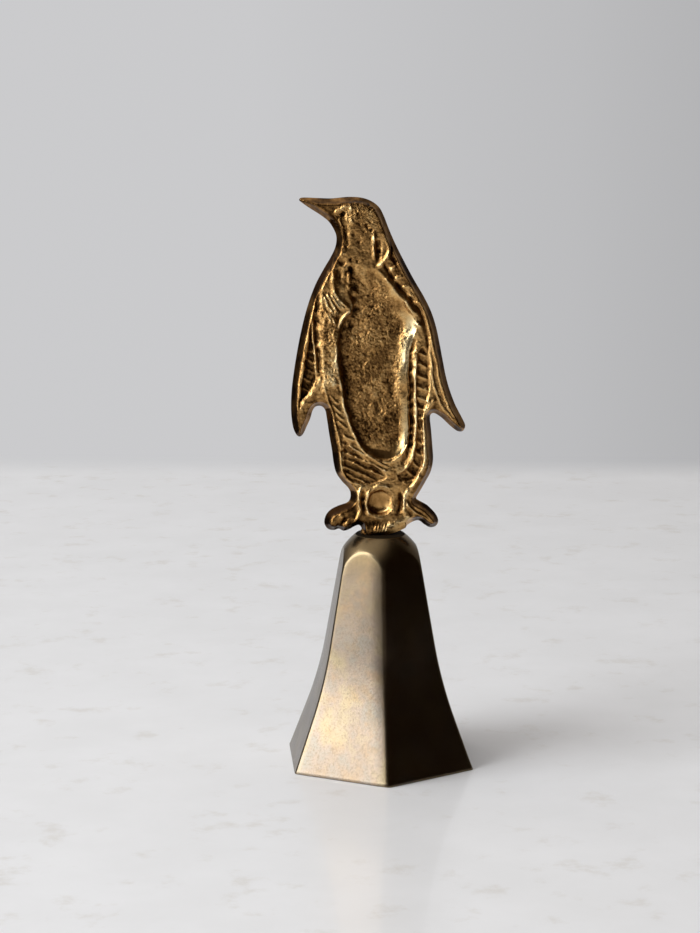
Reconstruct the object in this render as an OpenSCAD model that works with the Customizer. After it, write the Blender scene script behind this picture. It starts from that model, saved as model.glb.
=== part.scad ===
// Small brass table bell: a six-sided flared bell with a flat cast penguin for its handle.
// Millimetres. +Z is up, the mouth rests on z = 0 and the penguin faces -Y, over a corner of the bell.

/* [Bell] */
// Width of the mouth across its flats
mouth_flats = 40; // [36:0.5:44]
// Height of the flat on top of the crown
crown_h = 52; // [48:0.5:58]
// Wall thickness, measured level
wall = 1.9; // [1.5:0.1:2.5]
// Thickness of the crown at its flat
crown_t = 2.2; // [1.8:0.1:3]
// Slope of each face near the mouth, from upright
skirt_angle = 19.4; // [17:0.1:22]
// Slope of each face near the crown, from upright
waist_angle = 9.6; // [8:0.1:11]
// Height where the two slopes would meet
knee_h = 19; // [16:0.5:22]
// Radius of the curve that blends the two slopes
blend_r = 96; // [60:1:110]
// Height where the round crown begins at the corners
shoulder_h = 44; // [42:0.5:46]
// Width of the flat on top of the crown
crown_flat_d = 10.8; // [10:0.1:12]
// How far the corners are rounded off
corner_cut = 0.3; // [0.1:0.05:0.6]

/* [Penguin] */
// Height of the penguin above the crown
penguin_h = 75; // [70:0.5:80]
// Thickness of the cast plaque between its raised lines
plaque_t = 4.4; // [4:0.1:6]
// Height of the raised lines
line_h = 0.5; // [0.3:0.05:0.8]
// Width of the raised lines
line_w = 0.8; // [0.5:0.05:1.1]
// Depth of the hollow belly
belly_depth = 1.2; // [0.6:0.1:1.5]
// Depth of the hollow in the flipper
flipper_depth = 0.5; // [0.3:0.1:1]
// Width of the round dish between the feet
dish_d = 5.8; // [5:0.1:6.4]
// Depth of the round dish between the feet
dish_depth = 1.3; // [0.8:0.1:1.5]
// Widest part of the boss that carries the penguin
boss_d = 8.4; // [8:0.1:9.4]

/* [Fixing] */
// Diameter of the threaded stud
stud_d = 4; // [3:0.5:4]
// Depth of the stud in the boss
stud_grip = 4; // [3:0.1:4.2]
// Outside diameter of the washer
washer_d = 9; // [8:0.1:9]
// Thickness of the washer
washer_t = 0.8; // [0.5:0.1:1]
// Width of the nut across its flats
nut_flats = 7; // [5.5:0.1:7]
// Height of the nut
nut_h = 3.2; // [2.4:0.1:3.2]

/* [Clapper] */
// Outside diameter of the hanger
hanger_d = 6.6; // [6:0.1:7]
// Height of the hanger's threaded body
hanger_h = 4; // [3.5:0.1:4.5]
// Diameter of the wire in the stirrup and the eye
wire_d = 1.4; // [1.2:0.1:1.5]
// Diameter of the wire in the link
link_wire_d = 1.3; // [1.1:0.1:1.4]
// Gap between wires that swing on each other
swing_gap = 0.3; // [0.2:0.05:0.35]
// Drop from the stirrup's bar to the link's lower bar
link_drop = 5.5; // [5:0.1:6.5]
// Diameter of the clapper rod
rod_d = 1.6; // [1.4:0.1:1.8]
// Diameter of the clapper ball
ball_d = 9; // [7:0.1:9]
// Height of the ball's centre above the table
ball_h = 11; // [10:0.5:13]

/* [Hidden] */
$fn = 64;

// Room around the stud where it passes through the crown and the washer
stud_room = 0.1;
// Room between the threads, which are drawn as plain cylinders
thread_room = 0.02;
// A cut runs this far past the face that it opens
past = 1;

// Heights of the fixing and the clapper, worked down from the crown
crown_inside_h = crown_h - crown_t;
washer_h = crown_inside_h - washer_t;
nut_low_h = washer_h - nut_h;
hanger_low_h = nut_low_h - hanger_h;
stud_low_h = nut_low_h - hanger_h + 1.2;
stirrup_window = 3.2;
stirrup_h = hanger_low_h - stirrup_window - wire_d / 2;
link_bar_h = stirrup_h - link_drop;
eye_r = link_wire_d / 2 + swing_gap + wire_d / 2;

// The figure is drawn 75.1 mm high and scaled to penguin_h
drawn_h = 75.1;
figure_scale = penguin_h / drawn_h;
boss_h = 3.6;

// Points on a curve through four points, at t between the middle two
function between(a, b, c, d, t) =
    0.5 * (2 * b + (c - a) * t + (2 * a - 5 * b + 4 * c - d) * t * t + (3 * b - a - 3 * c + d) * t * t * t);

// A smooth closed outline through the points p, with n steps between each two
function closed_curve(p, n) =
    [for (i = [0 : len(p) - 1], j = [0 : n - 1])
        between(p[(i + len(p) - 1) % len(p)], p[i], p[(i + 1) % len(p)], p[(i + 2) % len(p)], j / n)];

// A smooth open line through the points p, with n steps between each two
function open_curve(p, n) =
    concat([for (i = [0 : len(p) - 2], j = [0 : n - 1])
        between(p[max(i - 1, 0)], p[i], p[i + 1], p[min(i + 2, len(p) - 1)], j / n)],
        [p[len(p) - 1]]);

// The direction square to a line at its point i
function across(p, i) =
    let (d = p[min(i + 1, len(p) - 1)] - p[max(i - 1, 0)])
    [-d[1], d[0]] / norm(d);

// A line narrows to this share of its width at both ends
end_share = 0.4;

// Half the width of a line of width w at its point i
function half_width(p, i, w) =
    let (s = i / (len(p) - 1))
    w / 2 * (end_share + (1 - end_share) * sin(180 * s));

// The outline of a raised line of width w that follows the points p
function ribbon(p, w) =
    concat([for (i = [0 : len(p) - 1]) p[i] + across(p, i) * half_width(p, i, w)],
        [for (i = [len(p) - 1 : -1 : 0]) p[i] - across(p, i) * half_width(p, i, w)]);

// The penguin's outline, clockwise from the tip of its beak: x across, then height above the crown
head_line = [
    [-17.9, 74.5], [-17.2, 75], [-14, 74.9], [-10.8, 74.8], [-7.2, 75.1], [-4.2, 74.9], [-2, 74.1],
    [-0.4, 72.8], [0.6, 71]];
back_line = [
    [1.7, 68.2], [3, 65.2], [5, 61.2], [7.2, 57.1], [9.6, 53], [11.2, 49.7], [12.3, 46.3], [13.1, 42.6],
    [13.8, 39], [14.5, 35.5], [15.4, 32.3], [16.7, 28.9], [18.2, 26]];
right_flipper_tip = [
    [18.95, 24.2], [18.4, 23], [17.2, 23], [15.6, 24.2], [13.6, 26.1], [12, 27.1], [11.2, 26.8]];
right_body_line = [
    [11.05, 25.8], [11.3, 23.5], [11.6, 20], [11.8, 16.7], [11.3, 14], [10.2, 11.8], [8.9, 9.5], [8.05, 8]];
right_foot_line = [
    [8.6, 7.4], [10.6, 6.2], [12.4, 4.3], [13.05, 2.7], [12.5, 1.5], [11.2, 1.2], [9.9, 1.9], [8.7, 2.8],
    [7.4, 2.6], [5.8, 1.7]];
base_line = [
    [4.4, 0.8], [3.4, 0.2], [0, 0.2], [-3.4, 0.3], [-4.1, 1.1], [-4.6, 1.9], [-5.6, 1.8]];
left_foot_line = [
    [-6.9, 1.1], [-8.2, 0.7], [-9.3, 1.2], [-10.4, 0.9], [-11.7, 1.2], [-12.5, 2.4], [-12.3, 4],
    [-11.3, 5.4], [-9.5, 6.4], [-7.5, 7.1]];
left_body_line = [
    [-6.75, 8], [-6.7, 9.4], [-7.2, 10.5], [-8.5, 11.9], [-9.8, 13.8], [-10.4, 16], [-10.8, 19],
    [-11.4, 22.6], [-11.9, 26], [-12.3, 28.1]];
left_flipper_tip = [
    [-13.2, 29], [-14.4, 28.9], [-15.1, 28], [-15.6, 26.3], [-16.4, 24.5], [-17.2, 22.8], [-18, 22.2],
    [-18.8, 22.8], [-19.5, 24.7]];
front_line = [
    [-19.85, 28], [-19.75, 32], [-19.3, 36], [-18.5, 41], [-17.5, 46], [-16.2, 51], [-14.5, 55.7],
    [-12.6, 59.3], [-11, 62], [-10, 64.2], [-9.75, 66.3]];
throat_line = [
    [-10.3, 68], [-11.5, 69.8], [-13.4, 71.3], [-15.6, 72.7], [-17.3, 73.9]];
penguin_line = concat(head_line, back_line, right_flipper_tip, right_body_line, right_foot_line, base_line,
    left_foot_line, left_body_line, left_flipper_tip, front_line, throat_line);

// Edge of the hollow belly, clockwise from the throat
belly_line = [
    [-3.5, 59.2], [-1.2, 58.8], [1, 56.5], [3.2, 53.8], [5.6, 51.2], [7.6, 49], [7.9, 46.8], [6.8, 44.2],
    [6, 41], [5.8, 37], [6, 32], [6.1, 27], [6.1, 22.6], [5.6, 19.4], [4.2, 17.5], [2, 16.9], [-0.5, 17.4],
    [-2.6, 18.6], [-4.4, 20.2], [-5.8, 22.8], [-7.2, 25.8], [-8.3, 29], [-8.9, 32.6], [-9.5, 37], [-9.8, 42],
    [-9.4, 46.6], [-8, 49], [-6.8, 50.4], [-6.7, 51.7], [-7.5, 53.6], [-8.6, 56], [-8.9, 58.5], [-7.5, 60.4],
    [-5.5, 60.3]];

// Edge of the hollow in the left flipper
flipper_line = [
    [-15.5, 48.5], [-15.2, 43], [-14.8, 38], [-14.6, 35], [-15.6, 32.6], [-17, 30.8], [-18.2, 29.6],
    [-18, 33], [-17, 39], [-16.2, 44]];

// Raised lines of the left flipper, outer side and then inner side
flipper_outer = [[-15.4, 50.5], [-16.4, 44.5], [-17.4, 39], [-18.3, 33], [-18.7, 29.8], [-18.2, 27.5], [-17.9, 26]];
flipper_inner = [[-15.3, 49], [-15, 43.5], [-14.5, 38], [-14, 35], [-14.8, 33], [-16.2, 31], [-17.5, 29]];
// Raised line down the left of the body
body_left = [[-13.2, 35], [-12, 31], [-10.6, 27.2], [-9.6, 24.2], [-8.9, 21.2], [-8.6, 17.5], [-8.5, 13.6]];
// Raised line down the right of the body to the right leg
body_right = [
    [11.2, 29.8], [9.8, 27.6], [9.6, 24], [9.7, 19], [9.5, 15.5], [8.3, 12.7], [6.6, 10.4], [5.3, 8.5], [5, 6.5],
    [5.4, 4.6]];
// Raised line beside the belly, which carries the rungs on its right
ladder_left = [[8.3, 42], [7.6, 38], [7.5, 33], [7.9, 28], [7.7, 23], [7.4, 19.5], [6.6, 16.6], [5.2, 14.6]];
// Raised edge of the right flipper
flipper_right = [[8.8, 49.4], [10.4, 46], [11.3, 42], [12.2, 37], [13.2, 33.3], [14.8, 29.4], [16.4, 26]];
// Raised lines of the shoulders
shoulder_left = [[-11.6, 59.2], [-12.5, 56.6], [-13.3, 53.8], [-13.6, 50], [-13.8, 45], [-13.7, 40], [-13.3, 36.5]];
shoulder_right = [[0.4, 67], [1.4, 64.6], [1.4, 62.5], [0.4, 60.8], [-1, 59.6]];
// Raised lines of the throat and the brow
throat_ridge = [[-1.8, 66.9], [-1.8, 64.6], [-1.8, 62.4]];
brow_ridge = [[-10.2, 71.4], [-9, 72.2], [-7.6, 72.6]];
// Raised lines of the legs, around the dish
leg_left = [[-4.5, 10.8], [-5.2, 8.8], [-5, 6.2], [-5.2, 4.2], [-6.6, 2.2]];
dish_left = [[-2.4, 10.3], [-3.4, 8.3], [-3.4, 6.3], [-2.8, 4.8]];
dish_right = [[2.8, 10], [3.6, 8], [3.5, 6], [2.8, 4.6]];
foot_left = [[-11.7, 2.4], [-10.4, 3.8], [-8.9, 4.6]];
foot_right = [[5.9, 7], [7.4, 4.9], [9.5, 3.8], [11, 2.6]];
raised_lines = [
    flipper_outer, flipper_inner, body_left, body_right, ladder_left, flipper_right, shoulder_left,
    shoulder_right, throat_ridge, brow_ridge, leg_left, dish_left, dish_right, foot_left, foot_right];

// Rungs between two raised lines, as [left end, right end]
flipper_rungs = [for (h = [34 : 2 : 42])
    [[-17.9 + (h - 34) * 0.16, h], [-14.6 - (h - 34) * 0.03, h - 1.6]]];
ladder_rungs = [for (h = [17.4 : 2.4 : 37])
    [[7.4, h + 0.6], [9.8 + max(0, h - 27) * 0.12, h - 0.5]]];
// Slanting strokes across the foot of the body
foot_strokes = [for (k = [0 : 3])
    [[-8.3, 18.2 - 1.6 * k], [-1.4 - 0.6 * k, 14.7 - 1.1 * k]]];
// Strokes on the left shoulder
shoulder_strokes = [for (k = [0 : 4])
    [[-12.6 + 0.9 * k, 51.4 + 0.9 * k], [-10.6 + 0.8 * k, 49 + 0.6 * k]]];
// Strokes on the right shoulder
back_strokes = [for (k = [0 : 4])
    [[2 + 1.35 * k, 58.2 - 2 * k], [3.8 + 1.4 * k, 59 - 2.1 * k]]];
strokes = concat(flipper_rungs, ladder_rungs, foot_strokes, shoulder_strokes, back_strokes);

// Half of the bell in profile, drawn level against height, for the half width a at the mouth.
// stretch is 1 for a face, and more for a corner, which lies further out.
module half_profile(a, stretch, bottom, top) {
    skirt = atan(tan(skirt_angle) * stretch);
    waist = atan(tan(waist_angle) * stretch);
    knee = [a - knee_h * tan(skirt), knee_h];
    run = blend_r * tan((skirt - waist) / 2);
    low = knee + run * [sin(skirt), -cos(skirt)];
    high = knee + run * [-sin(waist), cos(waist)];
    difference() {
        polygon([
            [0, bottom], [a - bottom * tan(skirt), bottom], low, high,
            [knee[0] - (top - knee_h) * tan(waist), top], [0, top]]);
        translate(low + blend_r * [cos(skirt), sin(skirt)]) circle(r = blend_r, $fn = 360);
    }
}

// What one face of the bell takes off the turned form
module face_cut(turn, a, bottom, top) {
    rotate([0, 0, turn]) rotate([90, 0, 0]) linear_extrude(height = mouth_flats, center = true) difference() {
        translate([0, bottom]) square([mouth_flats, top - bottom]);
        half_profile(a, 1, bottom, top);
    }
}

// The round crown in profile: an arc that leaves the corner line smoothly at the shoulder
// and ends at the edge of the flat
module crown_profile(shoulder_r, top, flat_r) {
    slope = atan(tan(waist_angle) / cos(30));
    outward = [cos(slope), sin(slope)];
    reach = [flat_r - shoulder_r, top - shoulder_h];
    arc_r = -(reach * reach) / (2 * (reach * outward));
    intersection() {
        translate([shoulder_r, shoulder_h] - arc_r * outward) circle(r = arc_r, $fn = 180);
        translate([0, shoulder_h]) square([mouth_flats, top - shoulder_h]);
    }
}

// The bell's outer or inner form: a turned form with six faces cut on it.
// inset is the level distance inside the outer form, and top is its highest point.
module bell_form(inset, bottom, top, flat_r) {
    a = mouth_flats / 2 - inset;
    stretch = 1 / cos(30);
    shoulder_a = a - knee_h * tan(skirt_angle) - (shoulder_h - knee_h) * tan(waist_angle);
    difference() {
        rotate_extrude($fn = 128) {
            half_profile(a * stretch - corner_cut, stretch, bottom, shoulder_h);
            crown_profile(shoulder_a * stretch - corner_cut, top, flat_r);
        }
        for (turn = [0 : 60 : 300])
            face_cut(turn, a, bottom - past, top + past);
    }
}

// Hollow cast bell with a hole for the stud in its crown
module bell_shell() color("#8a7350") {
    difference() {
        bell_form(0, 0, crown_h, crown_flat_d / 2);
        bell_form(wall, -past, crown_inside_h, crown_flat_d / 2 - 0.5);
        translate([0, 0, crown_inside_h - past])
            cylinder(d = stud_d + 2 * stud_room, h = crown_t + 2 * past);
    }
}

// Stands a drawing of the penguin upright on the crown, from depth low to depth high in front of its middle
module upright(low, high) {
    translate([0, 0, crown_h]) rotate([90, 0, 0]) translate([0, 0, low]) linear_extrude(height = high - low)
        children();
}

// The same relief on the front and the back of the plaque
module both_faces() {
    children();
    mirror([0, 1, 0]) children();
}

// The raised lines and strokes of one face
module raised_work() {
    upright(0, plaque_t / 2 + line_h) {
        for (p = raised_lines)
            polygon(ribbon(open_curve(p * figure_scale, 3), line_w));
        for (s = strokes)
            polygon(ribbon(open_curve([s[0], (s[0] + s[1]) / 2, s[1]] * figure_scale, 2), line_w * 0.8));
    }
}

// The hollow belly and the hollow flipper of one face
module hollows() {
    upright(plaque_t / 2 - belly_depth, plaque_t / 2 + past)
        polygon(closed_curve(belly_line * figure_scale, 3));
    upright(plaque_t / 2 - flipper_depth, plaque_t / 2 + past)
        polygon(closed_curve(flipper_line * figure_scale, 3));
}

// The round dish between the feet, as the ball that would fill it
module dish() {
    dish_r = (dish_d * dish_d / 4 + dish_depth * dish_depth) / (2 * dish_depth);
    translate([0, dish_depth - dish_r - plaque_t / 2, crown_h + 7 * figure_scale]) sphere(r = dish_r);
}

// The round boss under the feet that sits on the crown
module boss() {
    bulge_r = 2.6;
    translate([0, 0, crown_h]) rotate_extrude() intersection() {
        union() {
            translate([boss_d / 2 - bulge_r, 1.5]) circle(r = bulge_r);
            square([boss_d / 2 - bulge_r + past, boss_h]);
        }
        square([boss_d, boss_h]);
    }
}

// Flat cast penguin with relief on both faces, tapped from below for the stud
module penguin_handle() color("#b08d48") {
    difference() {
        union() {
            difference() {
                upright(-plaque_t / 2, plaque_t / 2) polygon(closed_curve(penguin_line * figure_scale, 3));
                both_faces() hollows();
            }
            both_faces() raised_work();
            boss();
        }
        both_faces() dish();
        translate([0, 0, crown_h - past])
            cylinder(d = stud_d + 2 * thread_room, h = stud_grip + past);
    }
}

// Threaded stud that joins the penguin to the bell and carries the clapper
module handle_stud() color("#a98a4a") {
    translate([0, 0, stud_low_h]) cylinder(d = stud_d, h = crown_h + stud_grip - 0.2 - stud_low_h);
}

// Flat washer under the crown
module crown_washer() color("#b39a5c") {
    translate([0, 0, washer_h]) difference() {
        cylinder(d = washer_d, h = washer_t);
        translate([0, 0, -past]) cylinder(d = stud_d + 2 * stud_room, h = washer_t + 2 * past);
    }
}

// Hexagon nut with its corners turned off at both faces
module crown_nut() color("#a98f52") {
    corner_r = nut_flats / 2 / cos(30);
    turned = (corner_r - nut_flats / 2) * tan(30);
    translate([0, 0, nut_low_h]) difference() {
        intersection() {
            cylinder(r = corner_r, h = nut_h, $fn = 6);
            rotate_extrude() polygon([
                [0, 0], [nut_flats / 2, 0], [corner_r, turned], [corner_r, nut_h - turned],
                [nut_flats / 2, nut_h], [0, nut_h]]);
        }
        translate([0, 0, -past]) cylinder(d = stud_d + 2 * thread_room, h = nut_h + 2 * past);
    }
}

// A bent wire in the XZ plane: two legs, a lower bar and, if closed, an upper bar
module bent_wire(half_w, low, high, bend, d, closed) {
    straight = half_w - bend;
    top = closed ? high - bend : high;
    for (side = [-1, 1])
        translate([side * half_w, 0, low + bend]) cylinder(d = d, h = top - low - bend);
    for (h = closed ? [low, high] : [low])
        translate([-straight, 0, h]) rotate([0, 90, 0]) cylinder(d = d, h = 2 * straight);
    for (turn = closed ? [0, 90, 180, 270] : [180, 270])
        translate([turn == 0 || turn == 270 ? straight : -straight, 0, turn < 180 ? high - bend : low + bend])
            rotate([90, 0, 0]) rotate([0, 0, turn]) rotate_extrude(angle = 90)
                translate([bend, 0]) circle(d = d, $fn = 32);
}

// Threaded hanger on the end of the stud, with a stirrup whose bar runs along Y
module clapper_hanger() color("#a08345") {
    difference() {
        union() {
            translate([0, 0, hanger_low_h]) cylinder(d = hanger_d, h = hanger_h);
            rotate([0, 0, 90]) bent_wire(2.5, stirrup_h, hanger_low_h + 0.5, 1, wire_d, false);
        }
        translate([0, 0, stud_low_h - 0.2])
            cylinder(d = stud_d + 2 * thread_room, h = hanger_h + past);
    }
}

// Wire link that hangs over the stirrup's bar; its own lower bar runs along X
module clapper_link() color("#a3874c") {
    bent_wire(2.6, link_bar_h, stirrup_h + wire_d / 2 + swing_gap + link_wire_d / 2, 1, link_wire_d, true);
}

// Rod with a closed eye round the link's lower bar, a shoulder above the ball and a peened end below it
module clapper_rod() color("#9c8046") {
    seat = ball_d / 2 - 0.25;
    translate([0, 0, link_bar_h]) rotate([0, 90, 0]) rotate_extrude()
        translate([eye_r, 0]) circle(d = wire_d, $fn = 32);
    translate([0, 0, ball_h - seat - 0.4])
        cylinder(d = rod_d, h = link_bar_h - eye_r - ball_h + seat + 0.4);
    translate([0, 0, ball_h + seat]) cylinder(d1 = rod_d + 1, d2 = rod_d, h = 0.9);
    translate([0, 0, ball_h - seat - 0.7]) cylinder(d1 = rod_d, d2 = rod_d + 1, h = 0.7);
}

// Drilled ball with a small flat round each end of its bore
module clapper_ball() color("#b1934f") {
    seat = ball_d / 2 - 0.25;
    translate([0, 0, ball_h]) difference() {
        intersection() {
            sphere(d = ball_d);
            translate([-ball_d, -ball_d, -seat]) cube([2 * ball_d, 2 * ball_d, 2 * seat]);
        }
        translate([0, 0, -ball_d]) cylinder(d = rod_d + 2 * thread_room, h = 2 * ball_d);
    }
}

bell_shell();
penguin_handle();
handle_stud();
crown_washer();
crown_nut();
clapper_hanger();
clapper_link();
clapper_rod();
clapper_ball();
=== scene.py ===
"""Small brass table bell with a flat cast penguin for its handle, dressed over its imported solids.

Sizes are millimetres in the classes, and become metres where a mesh is made. +Z is up, the mouth of the
bell rests on z = 0 and the penguin faces -Y, over a corner of the six-sided bell.
"""
import logging
import math
from dataclasses import dataclass
from enum import Enum

import bpy
import numpy as np
from mathutils import Matrix, Vector
from mathutils.geometry import delaunay_2d_cdt


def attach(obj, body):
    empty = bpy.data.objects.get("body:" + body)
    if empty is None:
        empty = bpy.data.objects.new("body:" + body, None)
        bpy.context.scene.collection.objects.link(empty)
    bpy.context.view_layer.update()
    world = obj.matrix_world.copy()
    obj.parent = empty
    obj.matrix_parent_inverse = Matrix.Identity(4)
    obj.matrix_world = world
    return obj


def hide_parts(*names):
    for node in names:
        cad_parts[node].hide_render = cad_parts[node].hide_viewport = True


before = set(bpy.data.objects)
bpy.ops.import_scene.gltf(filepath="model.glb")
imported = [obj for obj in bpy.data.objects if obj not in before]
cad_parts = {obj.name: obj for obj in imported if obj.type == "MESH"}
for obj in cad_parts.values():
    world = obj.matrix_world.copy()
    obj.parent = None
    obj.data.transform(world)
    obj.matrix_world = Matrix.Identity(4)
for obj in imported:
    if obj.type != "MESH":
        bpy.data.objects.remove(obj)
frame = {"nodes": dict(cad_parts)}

LOG = logging.getLogger("table_bell")
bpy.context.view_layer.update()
MM = 0.001
CROWN_H = 52.0
# Half the turn of one side of a hexagon, and how much farther out than a side its corner is
HALF_SIDE = math.pi / 6
STRETCH = 1 / math.cos(HALF_SIDE)
# Points measured at a time, the cells of a random field, where it starts, and a number that is nearly 0
BATCH = 4000
LATTICE = 64
LATTICE_SHIFT = 400
TINY = 1e-12
Array = np.ndarray
Socket = bpy.types.NodeSocket
Points = tuple[tuple[float, float], ...]
Colour = tuple[float, float, float]
Paint = tuple[float, float, float, float]


class Face(Enum):
    """The two faces of the penguin, as the side of the plaque's middle that they lie on."""

    FRONT = -1.0
    BACK = 1.0


def smooth_line(points: Points, steps: int, closed: bool = False) -> Array:
    """Draws a smooth curve through points.

    Args:
        points: The points that the curve passes through.
        steps: How many pieces the curve has between two points.
        closed: Whether the last point joins the first.

    Returns:
        The points of the curve, one a row.
    """
    p = np.asarray(points, float)
    count = len(p)
    index = np.arange(count if closed else count - 1)
    if closed:
        a, b, c, d = (p[(index + k) % count] for k in (-1, 0, 1, 2))
    else:
        a, b, c, d = (p[np.clip(index + k, 0, count - 1)] for k in (-1, 0, 1, 2))
    t = (np.arange(steps) / steps)[None, :, None]
    a, b, c, d = (v[:, None, :] for v in (a, b, c, d))
    curve = 2 * b + (c - a) * t + (2 * a - 5 * b + 4 * c - d) * t**2 + (3 * b - a - 3 * c + d) * t**3
    curve = (curve / 2).reshape(-1, 2)
    return curve if closed else np.vstack([curve, p[-1]])


def even_spacing(loop: Array, gap: float) -> Array:
    """Places points on a closed loop at an even gap.

    Args:
        loop: The points of the loop.
        gap: The distance between the new points, about.

    Returns:
        The new points, one a row.
    """
    ring = np.vstack([loop, loop[:1]])
    run = np.concatenate([[0], np.cumsum(np.linalg.norm(np.diff(ring, axis=0), axis=1))])
    at = np.linspace(0, run[-1], int(run[-1] / gap), endpoint=False)
    return np.stack([np.interp(at, run, ring[:, k]) for k in (0, 1)], -1)


def path_distance(points: Array, path: Array) -> tuple[Array, Array]:
    """Measures how far points lie from a path.

    Args:
        points: The points to measure from.
        path: The points of the path, in order.

    Returns:
        The distance of each point, and how far along the path its nearest place is, from 0 to 1.
    """
    start, step = path[:-1], np.diff(path, axis=0)
    length = np.linalg.norm(step, axis=1)
    run = np.concatenate([[0], np.cumsum(length)])
    nearest, along = np.empty(len(points)), np.empty(len(points))
    for low in range(0, len(points), BATCH):
        part = points[low:low + BATCH, None, :] - start[None]
        share = np.clip((part * step).sum(-1) / np.maximum(length**2, TINY), 0, 1)
        gap = np.linalg.norm(part - share[..., None] * step, axis=-1)
        best = gap.argmin(1)
        row = np.arange(len(best))
        nearest[low:low + BATCH] = gap[row, best]
        along[low:low + BATCH] = (run[best] + share[row, best] * length[best]) / run[-1]
    return nearest, along


def inside(points: Array, loop: Array) -> Array:
    """Tells which points lie inside a closed loop.

    Args:
        points: The points to test.
        loop: The points of the loop, in order.

    Returns:
        One truth value a point.
    """
    nxt = np.roll(loop, -1, axis=0)
    odd = np.zeros(len(points), bool)
    for low in range(0, len(points), BATCH):
        x, h = points[low:low + BATCH, :1], points[low:low + BATCH, 1:]
        spans = (loop[:, 1] > h) != (nxt[:, 1] > h)
        rise = np.where(nxt[:, 1] == loop[:, 1], TINY, nxt[:, 1] - loop[:, 1])
        crossing = loop[:, 0] + (h - loop[:, 1]) * (nxt[:, 0] - loop[:, 0]) / rise
        odd[low:low + BATCH] = (spans & (x < crossing)).sum(1) % 2 == 1
    return odd


def depth_inside(points: Array, loop: Array) -> Array:
    """Measures how far points lie inside a closed loop, with 0 outside it."""
    gap, _ = path_distance(points, np.vstack([loop, loop[:1]]))
    return np.where(inside(points, loop), gap, 0)


def inward(loop: Array) -> Array:
    """Gives the direction into a clockwise loop at each of its points, one unit long."""
    step = np.roll(loop, -1, axis=0) - np.roll(loop, 1, axis=0)
    return np.stack([step[:, 1], -step[:, 0]], -1) / np.linalg.norm(step, axis=1)[:, None]


def from_middle(angle: Array) -> Array:
    """Gives how far each angle is turned from the middle of the nearest side of a hexagon."""
    return np.abs((angle + HALF_SIDE) % (2 * HALF_SIDE) - HALF_SIDE)


def ring_faces(rings: int, width: int, closed: bool) -> list[tuple[int, ...]]:
    """Joins rings of points by faces.

    Args:
        rings: How many rings there are.
        width: How many points each ring has.
        closed: Whether the last ring joins the first.

    Returns:
        The point numbers of each face.
    """
    faces = []
    for i in range(rings if closed else rings - 1):
        low, high = i * width, (i + 1) % rings * width
        for k in range(width):
            n = (k + 1) % width
            faces.append((low + k, low + n, high + n, high + k))
    return faces


def ease(low: float, high: float, value: Array) -> Array:
    """Rises smoothly from 0 at low to 1 at high."""
    t = np.clip((value - low) / (high - low), 0, 1)
    return t * t * (3 - 2 * t)


def lower_of(a: Array, b: Array, blend: float) -> Array:
    """Takes the lower of two heights, rounded over a blend where they meet."""
    share = np.clip(0.5 + (b - a) / (2 * blend), 0, 1)
    return b + (a - b) * share - blend * share * (1 - share)


def grain(points: Array, cell: float, seed: int) -> Array:
    """Makes a smooth random field over the plane.

    Args:
        points: Where the field is wanted.
        cell: The size of its spots.
        seed: Which of many fields it is.

    Returns:
        A value from 0 to 1 for each point.
    """
    lattice = np.random.default_rng(seed).random((LATTICE, LATTICE))
    at = points / cell + LATTICE_SHIFT
    corner = np.floor(at).astype(int)
    t = ease(0, 1, at - corner)
    i, k = corner[:, 0] % LATTICE, corner[:, 1] % LATTICE
    i2, k2 = (i + 1) % LATTICE, (k + 1) % LATTICE
    low = lattice[i, k] * (1 - t[:, 0]) + lattice[i2, k] * t[:, 0]
    high = lattice[i, k2] * (1 - t[:, 0]) + lattice[i2, k2] * t[:, 0]
    return low * (1 - t[:, 1]) + high * t[:, 1]


def make_piece(name: str, points: Array, faces: list, material: bpy.types.Material) -> bpy.types.Object:
    """Makes a smooth-shaded mesh object.

    Args:
        name: The piece's name.
        points: Its points in millimetres.
        faces: The point numbers of each face.
        material: Its finish.

    Returns:
        The new object, linked to the scene.
    """
    mesh = bpy.data.meshes.new(name)
    mesh.from_pydata((points * MM).tolist(), [], faces)
    mesh.polygons.foreach_set("use_smooth", [True] * len(mesh.polygons))
    mesh.materials.append(material)
    mesh.validate()
    piece = bpy.data.objects.new(name, mesh)
    bpy.context.scene.collection.objects.link(piece)
    return piece


def mark_points(piece: bpy.types.Object, name: str, values: Array) -> None:
    """Stores one number a point on a mesh, for its finish to read."""
    store = piece.data.attributes.new(name, "FLOAT", "POINT")
    store.data.foreach_set("value", np.ascontiguousarray(values, np.float32))


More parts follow.
